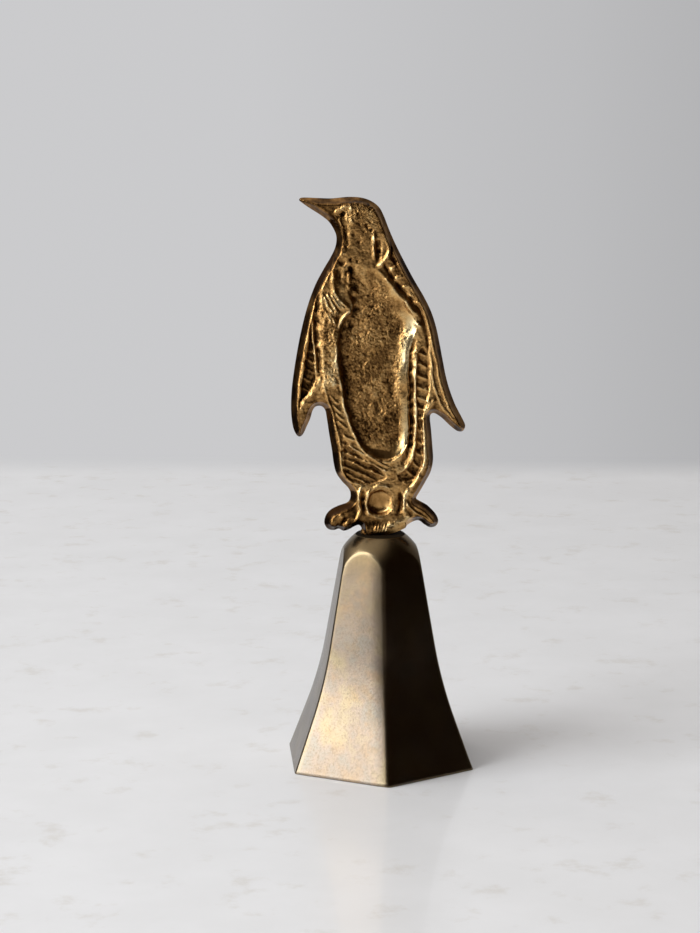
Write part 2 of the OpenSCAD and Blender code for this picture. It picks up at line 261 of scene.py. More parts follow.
class Wiring:
    """A node tree under construction, with short ways to add and join its nodes."""

    def __init__(self, tree: bpy.types.NodeTree) -> None:
        """Empties the tree and holds it."""
        self.tree = tree
        self.tree.nodes.clear()

    def add(self, kind: str, **values: float | tuple[float, ...]) -> bpy.types.Node:
        """Adds a node.

        Args:
            kind: Blender's name for it, after ShaderNode.
            values: Plain values for its inputs.

        Returns:
            The new node.
        """
        node = self.tree.nodes.new("ShaderNode" + kind)
        self.fill(node, **values)
        return node

    @staticmethod
    def fill(node: bpy.types.Node, **values: float | tuple[float, ...]) -> None:
        """Sets plain values on a node's inputs, with _ for a space in an input's name."""
        for name, value in values.items():
            node.inputs[name.replace("_", " ")].default_value = value

    def join(self, source: Socket, target: Socket) -> None:
        """Links an output to an input."""
        self.tree.links.new(source, target)

    def range(self, value: Socket, low: float, high: float, first: float, last: float) -> Socket:
        """Spreads the span from low to high over the span from first to last, smoothly.

        Args:
            value: What is spread.
            low: Where the old span starts.
            high: Where the old span ends.
            first: The result at low.
            last: The result at high.

        Returns:
            The spread value.
        """
        node = self.add("MapRange", From_Min=low, From_Max=high, To_Min=first, To_Max=last)
        node.interpolation_type = "SMOOTHSTEP"
        self.join(value, node.inputs["Value"])
        return node.outputs["Result"]

    def choose(self, share: Socket, a: Socket, b: Socket) -> Socket:
        """Mixes two shaders.

        Args:
            share: How much of the second shows.
            a: The first shader.
            b: The second shader.

        Returns:
            The mixed shader.
        """
        node = self.add("MixShader")
        for number, source in enumerate((share, a, b)):
            self.join(source, node.inputs[number])
        return node.outputs[0]


class Recipe(Wiring):
    """A material under construction."""

    def __init__(self, name: str) -> None:
        """Starts a material with a surface shader and an output.

        Args:
            name: The material's name.
        """
        self.material = bpy.data.materials.new(name)
        self.material.use_nodes = True
        super().__init__(self.material.node_tree)
        self.out = self.add("OutputMaterial")
        self.surface = self.add("BsdfPrincipled")
        self.join(self.surface.outputs["BSDF"], self.out.inputs["Surface"])
        self.place = self.add("TexCoord").outputs["Object"]

    def glow(self, share: Socket, colour: Socket) -> None:
        """Lets a plain glow take the surface's place.

        Args:
            share: How much of the glow shows.
            colour: The glow's colour.
        """
        light = self.add("Emission")
        self.join(colour, light.inputs["Color"])
        both = self.choose(share, self.surface.outputs["BSDF"], light.outputs["Emission"])
        self.join(both, self.out.inputs["Surface"])

    def mark(self, name: str) -> Socket:
        """Reads a number stored on the mesh.

        Args:
            name: The number's name.

        Returns:
            The number at each place.
        """
        node = self.add("Attribute")
        node.attribute_name = name
        return node.outputs["Fac"]

    def noise(self, size: float, detail: float = 3.0, rough: float = 0.55, stretch: Colour = (1, 1, 1),
              shift: float = 0.0) -> Socket:
        """Makes a cloudy pattern.

        Args:
            size: The size of its clouds in millimetres.
            detail: How many finer layers it has.
            rough: How strong the finer layers are.
            stretch: How much it is squeezed along each axis.
            shift: Moves the pattern, to make it another one.

        Returns:
            The pattern's value.
        """
        spread = self.add("Mapping", Scale=stretch, Location=(shift, shift * 0.7, shift * 0.3))
        self.join(self.place, spread.inputs["Vector"])
        node = self.add("TexNoise", Scale=1 / (size * MM), Detail=detail, Roughness=rough)
        self.join(spread.outputs["Vector"], node.inputs["Vector"])
        return node.outputs["Fac"]

    def sum(self, kind: str, a: Socket, b: Socket | float) -> Socket:
        """Does one step of arithmetic.

        Args:
            kind: Blender's name for the step.
            a: The first value.
            b: The second value, a socket or a number.

        Returns:
            The result.
        """
        node = self.add("Math")
        node.operation = kind
        self.join(a, node.inputs[0])
        if isinstance(b, (int, float)):
            node.inputs[1].default_value = b
        else:
            self.join(b, node.inputs[1])
        return node.outputs[0]

    def height(self, low: float, high: float) -> Socket:
        """Rises from 0 to 1 between two heights.

        Args:
            low: The height in millimetres where it is 0.
            high: The height where it is 1.

        Returns:
            The value at each place.
        """
        split = self.add("SeparateXYZ")
        self.join(self.place, split.inputs[0])
        return self.range(split.outputs["Z"], low * MM, high * MM, 0, 1)

    def ramp(self, value: Socket, *stops: tuple[float, Colour]) -> Socket:
        """Turns a value into a colour.

        Args:
            value: What picks the colour.
            stops: Values with the colour of each.

        Returns:
            The colour.
        """
        node = self.add("ValToRGB")
        marks = node.color_ramp.elements
        while len(marks) < len(stops):
            marks.new(0.5)
        for mark, (at, colour) in zip(marks, stops):
            mark.position = at
            mark.color = (*colour, 1)
        self.join(value, node.inputs["Fac"])
        return node.outputs["Color"]

    def mix(self, share: Socket, a: Socket | Colour, b: Socket | Colour) -> Socket:
        """Mixes two colours.

        Args:
            share: How much of the second shows.
            a: The first colour.
            b: The second colour.

        Returns:
            The mixed colour.
        """
        node = self.add("Mix")
        node.data_type = "RGBA"
        self.join(share, node.inputs["Factor"])
        for colour, socket in ((a, node.inputs[6]), (b, node.inputs[7])):
            if isinstance(colour, tuple):
                socket.default_value = (*colour, 1)
            else:
                self.join(colour, socket)
        return node.outputs[2]

    def brass(self, colour: Socket, roughness: Socket) -> None:
        """Makes the surface metal, of a colour and a roughness."""
        self.join(colour, self.surface.inputs["Base Color"])
        self.join(roughness, self.surface.inputs["Roughness"])
        self.fill(self.surface, Metallic=1.0)

    def bump(self, depth: float, *heights: tuple[Socket, float]) -> None:
        """Roughens the surface.

        Args:
            depth: The depth of the roughness in millimetres.
            heights: Patterns with the strength of each.
        """
        target = self.surface.inputs["Normal"]
        for pattern, strength in reversed(heights):
            node = self.add("Bump", Strength=strength, Distance=depth * MM)
            self.join(pattern, node.inputs["Height"])
            self.join(node.outputs["Normal"], target)
            target = node.inputs["Normal"]


@dataclass(frozen=True)
class FigureBrass:
    """Rough cast brass: golden on the ridges, brown between them and nearly black in the hollows, with
    painted highlight and painted shade laid into its colour.
    """

    name: str = "figure_brass"
    pit: Colour = (0.030, 0.012, 0.003)
    brown: Colour = (0.27, 0.140, 0.044)
    gold: Colour = (0.55, 0.315, 0.110)
    bright: Colour = (0.64, 0.42, 0.175)
    pale: Colour = (0.76, 0.59, 0.32)

    def material(self) -> bpy.types.Material:
        """Builds the finish from the marks on the casting.

        Returns:
            The new material.
        """
        made = Recipe(self.name)
        coarse = made.mark("coarse")
        cloud = made.range(made.noise(3.2, 3.0, 0.6, (1, 1, 0.6)), 0.3, 0.7, -0.15, 0.15)
        speck = made.range(made.noise(0.50, 4.0, 0.7), 0.32, 0.68, -0.17, 0.17)
        # The wear mark holds the casting's ridges and hollows, and also the tints' painted highlight and
        # painted shade
        tone = made.sum("ADD", made.sum("ADD", made.mark("wear"), cloud), made.sum("MULTIPLY", speck, coarse))
        colour = made.ramp(tone, (0.12, self.pit), (0.38, self.brown), (0.57, self.gold), (0.78, self.bright),
                           (1.0, self.pale))
        made.brass(colour, made.mark("matt"))
        fine = made.sum("MULTIPLY", made.noise(0.55, 3.0, 0.6, shift=0.5), coarse)
        broad = made.sum("MULTIPLY", made.noise(1.5, 2.0, 0.5, shift=1.0), coarse)
        made.bump(0.45, (fine, 0.72), (broad, 0.40))
        return made.material


@dataclass(frozen=True)
class BellBrass:
    """Satin brass, browner towards the top of its faces, paler where it is rubbed and golden along its edges,
    with painted shade under the crown's edge and on its flat top and a painted highlight along the arches.
    """

    name: str = "bell_brass"
    brown: Colour = (0.115, 0.084, 0.052)
    satin: Colour = (0.170, 0.133, 0.101)
    grey: Colour = (0.148, 0.130, 0.105)
    rubbed: Colour = (0.190, 0.152, 0.094)
    crown: Colour = (0.158, 0.112, 0.056)
    edge: Colour = (0.240, 0.176, 0.088)
    spot: Colour = (0.330, 0.245, 0.130)
    arch_highlight: Colour = (0.270, 0.225, 0.145)
    warm: Colour = (0.185, 0.122, 0.066)
    fleck: Colour = (0.066, 0.046, 0.026)
    crown_top_shade: Colour = (0.028, 0.019, 0.011)
    joint: tuple[float, float] = (51.8, 51.98)

    def material(self) -> bpy.types.Material:
        """Builds the finish from clouds, specks and the marks of the bell's edges, one of which lays a
        painted highlight along the arches.

        Returns:
            The new material.
        """
        made = Recipe(self.name)
        cloud = made.range(made.noise(6.5, 4.0, 0.55), 0.28, 0.72, 0, 1)
        base = made.ramp(cloud, (0.0, self.grey), (0.45, self.satin), (1.0, self.rubbed))
        # Painted shade in a band from 41.5 to 47.5 mm, at the top of the faces where they meet the crown
        under = made.sum("MULTIPLY", made.height(41.5, 44.5), made.height(47.5, 46.0))
        zones = ((made.height(27, 41), 0.5, self.brown), (made.height(42, 49), 0.95, self.crown),
                 (under, 0.35, self.brown))
        for zone, strength, colour in zones:
            base = made.mix(made.sum("MULTIPLY", zone, strength), base, colour)
        clouds = ((made.noise(4.6, 3.0, 0.6, shift=8.0), 0.48, 0.72, 0.50, self.warm),
                  (made.noise(1.3, 3.0, 0.6, shift=9.0), 0.55, 0.78, 0.28, self.fleck),
                  (made.noise(0.45, 3.0, 0.6, shift=2.0), 0.46, 0.72, 0.55, self.brown),
                  (made.noise(2.0, 2.0, 0.5, shift=6.0), 0.74, 0.82, 0.50, self.spot),
                  (made.mark("edge"), 0.3, 1.0, 0.25, self.edge))
        for pattern, low, high, strength, colour in clouds:
            base = made.mix(made.range(pattern, low, high, 0, strength), base, colour)
        # Painted highlight along the arches where the faces meet the crown
        base = made.mix(made.sum("MULTIPLY", made.mark("arch_highlight"), 0.25), base, self.arch_highlight)
        # Painted shade on the crown's flat top under the penguin: dark brown and duller from 51.8 mm up
        joint = made.height(*self.joint)
        sheen = made.range(made.noise(5.0, 2.0, 0.5, shift=3.0), 0.3, 0.7, 0.235, 0.265)
        dull = made.sum("ADD", sheen, made.sum("MULTIPLY", joint, 0.6))
        made.brass(made.mix(joint, base, self.crown_top_shade), dull)
        made.bump(0.03, (made.noise(0.50, 3.0, 0.6), 0.30), (made.noise(3.0, 3.0, 0.5, shift=4.0), 0.25))
        return made.material


@dataclass(frozen=True)
class TurnedBrass:
    """Dull turned or drawn brass of the hidden fittings, with fine tool lines."""

    name: str
    bright: Colour = (0.62, 0.47, 0.22)
    dull: Colour = (0.33, 0.23, 0.10)
    lines: Colour = (1, 1, 8)

    def material(self) -> bpy.types.Material:
        """Builds the finish from clouds and fine lines.

        Returns:
            The new material.
        """
        made = Recipe(self.name)
        cloud = made.noise(2.2, 4.0, 0.6)
        colour = made.ramp(made.range(cloud, 0.3, 0.7, 0, 1), (0.0, self.dull), (0.6, self.bright))
        made.brass(colour, made.range(cloud, 0.3, 0.7, 0.48, 0.30))
        made.bump(0.02, (made.noise(0.5, 2.0, 0.5, self.lines), 0.3))
        return made.material


class Area(Enum):
    """Where a tint lies on a face of the penguin."""

    FACE = "whole face"
    BAND = "swollen band left of the belly"
    HEAD = "head"
    SEAM = "left edge of the belly"
    FLOOR = "belly's floor"
    ROUGH = "rough part of that floor"
    # The polished right side of the belly also carries a painted highlight
    POLISH_AND_HIGHLIGHT = "polished right side of the belly"
    FOOT = "foot of that side"
    SHELF = "smooth lower end of the belly"
    # The wall, its shoulder and the crest inside it carry painted shade
    WALL = "wall all round"
    RIGHT_WALL = "wall that faces right"
    SHOULDER = "shoulder of the wall"
    BORDER = "border inside the wall"
    EDGE = "border that doesn't face right"
    CREST = "crest of that border"


@dataclass(frozen=True)
class Spot:
    """A soft round spot on a face: its strength, its middle, and its half width and half height."""

    strength: float
    x: float
    h: float
    wide: float
    tall: float

    def at(self, x: Array, h: Array) -> Array:
        """Gives the spot's strength at each place."""
        return self.strength * np.exp(-(((x - self.x) / self.wide) ** 2 + ((h - self.h) / self.tall) ** 2))


@dataclass(frozen=True)
class Patch:
    """A soft-edged field on a face: its strength, and where each edge starts and ends, across and upward."""

    strength: float = 1.0
    across: Points = ()
    upward: Points = ()

    def at(self, x: Array, h: Array) -> Array:
        """Gives the patch's strength at each place.

        Args:
            x: How far each place lies to the right.
            h: How far it lies above the crown.

        Returns:
            The strength at each place.
        """
        total = np.full(len(x), self.strength)
        for place, edges in ((x, self.across), (h, self.upward)):
            for start, end in edges:
                total = total * ease(start, end, place)
        return total


@dataclass(frozen=True)
class Hollow:
    """A sunk field of the relief: its depth, the width of its sloping sides, and its outline."""

    depth: float
    side: float
    points: Points


@dataclass
class PenguinHandle:
    """The flat cast penguin: its outline, its relief and the boss that it stands on."""

    drawn_h: float = 75.1
    real_h: float = 75.0
    wall_foot: float = 0.12
    wall_slope: float = 1.5
    shoulder_h: float = 1.50
    shoulder_slope: float = 0.46
    field_h: float = 1.95
    no_shoulder: float = 6.0
    gap: float = 0.22
    border_rings: tuple[float, ...] = (0.07, 0.18, 0.34)
    border_clear: float = 0.5
    fine_rounds: int = 10
    broad_rounds: int = 60
    front_seed: int = 11
    back_seed: int = 71
    front_shift: tuple[float, float] = (0.2, 0.3)
    wander: float = 0.30
    boss_shift: float = -0.9
    boss_h: float = 3.5
    boss_flat: float = 0.42
    boss_turns: int = 120
    boss_profile: Points = (
        (0, 0), (3.3, 0), (3.5, 0.2), (3.6, 0.8), (3.5, 1.5), (3.2, 2.4), (2.8, 3.1), (2, 3.4), (0, 3.5))
    boss_joint: Patch = Patch(2.0, ((-3.9, -2.4), (6.4, 4.8)), ((3.0, 1.6),))
    boss_marks: tuple[tuple[str, float], ...] = (("wear", 0.25), ("coarse", 0.5), ("matt", 0.27))
    boss_swell: Spot = Spot(0.60, -0.6, 0.9, 3.2, 1.4)
    leg_gap: Spot = Spot(-0.30, 3.0, 7.0, 0.8, 2.2)
    band: Patch = Patch(1.0, ((-14.2, -12.8), (-9.2, -10.6)), ((30, 35), (53, 49)))
    band_lift: float = 0.38
    head: Spot = Spot(1.0, -4.8, 70, 4.6, 4.0)
    head_lift: float = 0.25
    hatching: Patch = Patch(1.0, ((-9.2, -8.4), (3.0, 1.6)), ((10.6, 11.6), (22, 20)))
    seam: Patch = Patch(1.0, (), ((28, 32), (46, 42)))
    dish_x: float = -0.5
    dish_h: float = 7.1
    dish_r: float = 2.95
    dish_deep: float = 0.52
    belly_deep: float = 1.30
    belly_right: Patch = Patch(1.0, ((1.5, 4.0),), ((50.5, 47.5),))
    upper_corner: Spot = Spot(1.0, 6.0, 45.6, 2.6, 2.1)
    upper_cup: Spot = Spot(0.40, 4.6, 45.4, 2.4, 2.3)
    lower_corner: Spot = Spot(1.0, 3.4, 20.6, 2.0, 2.0)
    lower_deep: float = 0.45
    # Random roughness: strength, size of its spots, squeeze from top to bottom, and number of the field
    grains: tuple[tuple[float, float, float, int], ...] = (
        (0.12, 0.62, 1.0, 3), (0.20, 1.5, 1.0, 4), (0.36, 2.6, 0.6, 7))
    outline: Points = (
        (-17.9, 74.5), (-17.2, 75), (-14, 74.9), (-10.8, 74.8), (-7.2, 75.1), (-4.2, 74.9), (-2, 74.1),
        (-0.4, 72.8), (0.6, 71), (1.7, 68.2), (3, 65.2), (5, 61.2), (7.2, 57.1), (9.6, 53), (11.2, 49.7),
        (12.3, 46.3), (13.1, 42.6), (13.8, 39), (14.5, 35.5), (15.4, 32.3), (16.7, 28.9), (18.2, 26),
        (18.95, 24.2), (18.4, 23), (17.2, 23), (15.6, 24.2), (13.6, 26.1), (12, 27.1), (11.2, 26.8),
        (11.05, 25.8), (11.3, 23.5), (11.6, 20), (11.8, 16.7), (11.3, 14), (10.2, 11.8), (8.9, 9.5),
        (8.05, 8), (8.6, 7.4), (10.6, 6.2), (12.4, 4.3), (13.05, 2.7), (12.5, 1.5), (11.2, 1.2), (9.9, 1.9),
        (8.7, 2.8), (7.4, 2.6), (5.8, 1.7), (4.4, 1), (3, 0.5), (1.4, 0.1), (0, 0), (-3.2, 0), (-3.8, 0.5),
        (-4.6, 1.9), (-5.6, 1.8), (-6.9, 1.1), (-8.2, 0.7), (-9.3, 1.2), (-10.4, 0.9), (-11.7, 1.2),
        (-12.5, 2.4), (-12.3, 4), (-11.3, 5.4), (-9.5, 6.4), (-7.5, 7.1), (-6.75, 8), (-6.7, 9.4),
        (-7.2, 10.5), (-8.5, 11.9), (-9.8, 13.8), (-10.4, 16), (-10.8, 19), (-11.4, 22.6), (-11.9, 26),
        (-12.3, 28.1), (-13.2, 29), (-14.4, 28.9), (-15.1, 28), (-15.6, 26.3), (-16.4, 24.5), (-17.2, 22.8),
        (-18, 22.2), (-18.8, 22.8), (-19.5, 24.7), (-19.85, 28), (-19.75, 32), (-19.3, 36), (-18.5, 41),
        (-17.5, 46), (-16.2, 51), (-14.5, 55.7), (-12.6, 59.3), (-11, 62), (-10, 64.2), (-9.75, 66.3),
        (-10.3, 68), (-11.5, 69.8), (-13.4, 71.3), (-15.6, 72.7), (-17.3, 73.9))
    belly: Points = (
        (-3.5, 59.2), (-1.2, 58.8), (1, 56.5), (3.2, 53.8), (5.4, 51), (7, 48.8), (7.5, 46.6), (6.9, 44.2),
        (6.1, 41), (5.8, 37), (6, 32), (6.1, 27), (6.1, 22.6), (5.5, 19.8), (4.1, 17.8), (2, 16.8),
        (-0.4, 16.8), (-2.7, 17.8), (-4.7, 19.7), (-6.1, 22.3), (-7.4, 25.6), (-8.4, 29), (-8.9, 32.6),
        (-9.5, 37), (-9.8, 42), (-9.4, 46.6), (-8, 49), (-6.8, 50.4), (-6.7, 51.7), (-7.5, 53.6), (-8.6, 56),
        (-8.9, 58.5), (-7.5, 60.4), (-5.5, 60.3))
    hollows: tuple[Hollow, ...] = (
        Hollow(0.85, 0.50, (
            (-15.5, 48.5), (-15.2, 43), (-14.8, 38), (-14.6, 35), (-15.6, 32.6), (-17, 30.8), (-18.2, 29.6),
            (-18, 33), (-17, 39), (-16.2, 44))),
        Hollow(0.50, 0.5, (
            (7.8, 41), (10, 41), (10.6, 36), (10.6, 31), (9.2, 26.5), (9.3, 20), (9.1, 15.5), (7.4, 12.2),
            (4.2, 11.6), (3.4, 13.4), (5.2, 14.6), (6.8, 17), (7.5, 21), (7.6, 27), (7.4, 33))),
        Hollow(0.45, 0.5, (
            (-8.5, 21.6), (-6.1, 19.0), (-3.0, 16.5), (-0.2, 14.4), (1.2, 12.6), (-1, 11.6), (-4.4, 11.2),
            (-8.2, 12.8), (-8.5, 17))))
    # Lines: how far they stand up (below 0, are sunk), half their width, and the points of each
    strokes: tuple[tuple[float | Points, ...], ...] = (
        # Left flipper: outer ridge, inner line, thick ridge round its tip, and its rungs
        (0.22, 0.32, ((-15.3, 50.3), (-15.8, 47.5), (-16.3, 44.5), (-16.8, 41.5), (-17.3, 38.5), (-17.8, 35),
         (-18.3, 32), (-18.7, 29.8), (-18.5, 28.3), (-18, 27), (-17.9, 25.6))),
        (0.2, 0.26, ((-15.2, 49), (-15.2, 46), (-15, 43), (-14.7, 40), (-14.4, 37.8), (-13.9, 35.4))),
        (0.38, 0.42, ((-13.7, 36), (-13.9, 34.4), (-14.6, 32.9), (-15.4, 31.8), (-16.3, 30.8), (-17.1, 29.7),
         (-17.8, 28.4), (-18, 27))),
        (0.24, 0.26, ((-16.5, 43.6), (-15.2, 42.9))),
        (0.26, 0.26, ((-16.9, 41.7), (-15, 40.4))),
        (0.27, 0.26, ((-17.2, 39.8), (-14.8, 38.1)), ((-17.5, 37.6), (-14.7, 35.9))),
        (0.27, 0.28, ((-17.8, 35.5), (-15.1, 33.7)), ((-18.1, 33.3), (-16.1, 32))),
        (0.3, 0.26, ((-18.4, 31.2), (-17.2, 30.4))),
        # Left shoulder and the band beside the belly
        (0.32, 0.36, ((-11.5, 59.2), (-12, 57.8), (-12.6, 56), (-13.1, 54.2), (-13.4, 51.5))),
        (0.52, 0.5, ((-10.1, 60.6), (-10.7, 59), (-10.9, 57), (-10.7, 55), (-10.1, 53.3), (-9.2, 52.2),
         (-8.3, 51.2), (-7.2, 50.4))),
        (0.42, 0.32, ((-6.8, 50.3), (-7.5, 49.4), (-8.4, 48.5), (-9.2, 47.5), (-9.6, 46))),
        (0.32, 0.32, ((-9.6, 46), (-9.9, 43.5), (-10, 41), (-9.9, 38), (-9.6, 35.5), (-9.2, 33.5),
         (-8.9, 31.5), (-8.4, 29.2), (-7.8, 27.2), (-7.1, 25.2), (-6.4, 23.3), (-5.8, 21.8), (-5.2, 20.6),
         (-4.3, 19.3), (-3, 18.1), (-1.2, 17), (0.6, 16.3), (2.2, 16.2), (3.6, 16.9), (4.8, 18.2),
         (5.5, 20))),
        (0.42, 0.28, ((-12.9, 53.2), (-11.9, 51.2), (-11, 49.6))),
        (0.44, 0.28, ((-12.1, 53.6), (-11.1, 51.6), (-10, 49.8)),
         ((-11.2, 53.6), (-10.2, 51.8), (-9.1, 50.2))),
        (0.4, 0.28, ((-10.2, 52.8), (-9.3, 51.4), (-8.4, 50.2))),
        (0.38, 0.3, ((-13, 50.4), (-12, 48.8), (-11.2, 47.4))),
        (0.36, 0.3, ((-11.8, 49.4), (-10.9, 48.2), (-10.1, 47))),
        (0.34, 0.42, ((-7.3, 58.2), (-7.4, 56.5), (-7.4, 54.8))),
        (0.14, 0.3, ((-8.3, 66.2), (-8.2, 64.5), (-8.4, 63))),
        (0.22, 0.34, ((-8.4, 62.9), (-9.5, 61.7), (-10.3, 60.4))),
        # Left side of the body down to the foot, and the slanting strokes across it
        (0.4, 0.32, ((-13.2, 34.2), (-12.5, 32), (-11.8, 29.8), (-11.2, 27.8), (-10.6, 25.9), (-10, 23.8),
         (-9.6, 21.8), (-9.3, 19.5), (-9.1, 17), (-9, 15), (-8.9, 13.2))),
        (0.26, 0.28, ((-11.4, 31.2), (-9.7, 29.5)), ((-10.9, 29.3), (-9.2, 27.5)),
         ((-10.3, 27.4), (-8.6, 25.6)), ((-9.8, 25.5), (-7.8, 23.8))),
        (0.28, 0.26, ((-8.6, 22.4), (-7.4, 21.7), (-6.2, 21.2))),
        (0.34, 0.25, ((-8.6, 20.5), (-5.4, 18.9), (-2, 17), (1, 15.2), (2.4, 14.5))),
        (0.38, 0.26, ((-8.6, 18.7), (-5, 16.9), (-1.5, 15.3), (1.7, 13.8)), ((-8.6, 17), (-5, 15.4), (-2, 14),
         (0.8, 12.8)), ((-8.6, 15.4), (-5.5, 14), (-1.6, 12.2))),
        (0.36, 0.26, ((-8.4, 13.9), (-6, 12.7), (-3.4, 11.5))),
        (0.3, 0.24, ((-7.9, 12.5), (-5.4, 11.3))),
        (0.12, 0.8, ((-5, 20), (-3.6, 18.6), (-2, 17.4), (-0.5, 16.2), (0.8, 15), (2, 13.8), (2.8, 12.8))),
        # Ladder on the right of the belly
        (0.32, 0.32, ((8.2, 41.5), (7.7, 39), (7.4, 36.5), (7.3, 34), (7.5, 31), (7.7, 28), (7.6, 25),
         (7.5, 22), (7.3, 19.5), (6.9, 17.6))),
        (0.36, 0.4, ((7.3, 20.5), (7, 18.2), (6.4, 16.2), (5.7, 15.1), (4.9, 14.3))),
        (0.5, 0.4, ((11.3, 30), (10.6, 28.7), (9.8, 27.4), (9.5, 25.5), (9.5, 22), (9.6, 19), (9.5, 16.5),
         (9, 14.5), (8.2, 12.7), (7.1, 11.1), (6, 9.7), (5.2, 8.4), (4.9, 7), (5, 5.6), (5.4, 4.3))),
        (0.34, 0.4, ((7.8, 40.8), (9.9, 39.8)), ((7.7, 38.4), (9.9, 37.3)), ((5.2, 14.4), (7.6, 12.5))),
        (0.34, 0.42, ((7.5, 35.8), (10, 34.6))),
        (0.36, 0.42, ((7.5, 33.2), (10.3, 31.9)), ((7.7, 30.8), (10.6, 29.6))),
        (0.34, 0.38, ((7.8, 28.4), (9.6, 27.6)), ((7.8, 26.3), (9.5, 25.5)), ((7.7, 23.8), (9.4, 22.6)),
         ((7.6, 21), (9.5, 19.6)), ((7.2, 18.7), (9.5, 17.1)), ((6.4, 16.3), (8.9, 14.4))),
        (0.32, 0.4, ((3.4, 13), (5.6, 11.5))),
        # Right flipper
        (0.4, 0.32, ((8.9, 49.4), (9.9, 47.2), (10.6, 44.8), (11.2, 42), (11.8, 39.3), (12.4, 36.8),
         (12.9, 34.6), (13.5, 32.2), (14.3, 30), (15.2, 27.9), (16.3, 25.8))),
        (0.26, 0.28, ((8.3, 49), (9.5, 46.5), (10.2, 43.5), (10.6, 40.5), (10.9, 37.5), (11.3, 34.5),
         (12, 31.5), (13.2, 28.8), (14.8, 26.8), (16, 25.4))),
        (0.46, 0.52, ((9.4, 26.8), (10.2, 28), (11, 29.3), (11.4, 30.2))),
        # Throat and right shoulder
        (0.46, 0.36, ((-1.9, 66.9), (-1.85, 65), (-1.9, 63), (-1.8, 61.5))),
        (0.52, 0.42, ((0.1, 66.8), (0.9, 65.4), (1.4, 64), (1.4, 62.7), (0.9, 61.4), (0.1, 60.5),
         (-0.7, 59.8), (-1.3, 59.2))),
        (0.4, 0.75, ((-1.2, 59), (0.3, 57.5), (1.7, 55.7), (3.2, 53.8), (4.8, 52.1), (6.4, 50.3), (7.6, 48.5),
         (8, 46.6), (7.7, 44.6))),
        (0.34, 0.34, ((0.6, 68.4), (1.6, 65.6), (2.6, 62.6), (3.9, 59.9), (5.3, 57.2), (6.9, 54.3),
         (8.4, 51.6), (9.8, 48.8), (10.9, 45.6), (11.7, 42), (12.4, 38.4), (13.1, 35)),
         ((4.3, 55), (6, 55.3)), ((5.3, 53.1), (7, 53.3))),
        (0.4, 0.38, ((1.7, 58.3), (2.3, 59.2), (3.1, 59.8))),
        (0.36, 0.36, ((2.6, 56), (3.1, 57.1), (4.3, 57.5))),
        (0.3, 0.34, ((6.5, 51.6), (7.9, 51.6))),
        # Head: brow, cheek and beak
        (0.28, 0.28, ((-10.6, 71.3), (-9.9, 71.9), (-9.1, 72.1), (-8.4, 72.7), (-7.6, 72.8), (-6.8, 72.5))),
        (0.34, 0.32, ((-7.2, 73.2), (-6.9, 72.4), (-7, 71.8))),
        (0.24, 0.3, ((-9.6, 70.2), (-9.2, 69.2), (-8.8, 68.2))),
        (0.22, 0.32, ((-7, 70), (-6.6, 69.2))),
        (0.26, 0.4, ((-0.6, 71.5), (-0.3, 70), (-0.1, 68.6))),
        # Legs, dish and feet
        (0.5, 0.4, ((-4.5, 10.6), (-5.1, 9.4), (-5.25, 8), (-5, 6.4), (-4.9, 5.2), (-5.3, 4), (-6, 2.9),
         (-6.8, 1.9))),
        (0.42, 0.34, ((-2.2, 10.2), (-3, 9.2), (-3.4, 7.8), (-3.4, 6.2), (-3, 4.9), (-2.4, 4.1))),
        (0.3, 0.34, ((-2, 10.4), (-0.8, 10.9), (0.6, 10.8), (1.8, 10.3))),
        (0.12, 0.3, ((1.6, 10), (2.5, 8.9), (2.8, 7.4), (2.7, 5.9), (2.2, 4.6))),
        (0.26, 0.34, ((-2.4, 4.1), (-1, 3.6), (0.4, 3.4))),
        (0.5, 0.75, ((0.9, 2.2), (2.4, 2.3), (3.9, 2.8), (5.4, 3.4), (6.8, 4.1))),
        (0.34, 0.2, ((1.5, 2.5), (1.1, 1.5), (0.6, 0.5))),
        (0.34, 0.18, ((0.8, 2.4), (0.4, 1.4), (-0.1, 0.4)), ((0.1, 2.3), (-0.3, 1.3), (-0.7, 0.3)),
         ((-0.6, 2.2), (-0.9, 1.2), (-1.2, 0.3))),
        (0.3, 0.18, ((-1.3, 2.1), (-1.5, 1.2), (-1.7, 0.3))),
        (0.36, 0.7, ((-11.6, 2.4), (-10.8, 3.4), (-9.8, 4), (-8.6, 4.3), (-7, 4.9))),
        (0.32, 0.55, ((-8.4, 2.2), (-7.2, 3.1), (-6.2, 3.9))),
        (0.36, 0.36, ((5.3, 7.6), (6, 6.2), (7.2, 4.9), (8.8, 4), (10.1, 3.2), (10.8, 2.3))),
        (0.36, 0.9, ((7.8, 6.4), (9.2, 5.6), (10.8, 4.4), (11.8, 3))),
        # Sunk lines
        (-0.5, 0.5, ((-14, 53.4), (-14.5, 49), (-14.6, 45), (-14.2, 40), (-13.6, 36.5), (-13.2, 34.8))),
        (-0.9, 0.48, ((7, 43.2), (6.75, 41.8), (6.4, 40), (6.2, 37), (6.35, 33), (6.5, 28), (6.5, 24),
         (6.3, 20.5), (5.8, 18), (4.7, 16.1))),
        (-0.45, 0.45, ((1.7, 65.2), (2, 63.2), (2.5, 61.4), (3.2, 60))),
        (-0.7, 0.62, ((-1, 65.6), (-0.9, 63.6), (-0.8, 61.4))),
        (-0.42, 0.36, ((0.4, 60.2), (1.2, 58.9), (2.4, 57), (4, 54.9), (5.8, 53), (7.4, 51.2), (8.5, 49.6),
         (9.3, 47.4), (9.9, 44.8), (10.2, 41), (10.5, 37.8))),
        (-0.55, 0.45, ((-4.2, 9.8), (-4.3, 7.8), (-4.1, 6), (-3.9, 4.8))),
        (-0.65, 0.5, ((4.1, 9.4), (4.2, 7.4), (4, 5.6), (3.4, 4.6))),
        (-0.4, 0.34, ((-9.4, 1.3), (-8.9, 2.6), (-7.9, 3.7))),
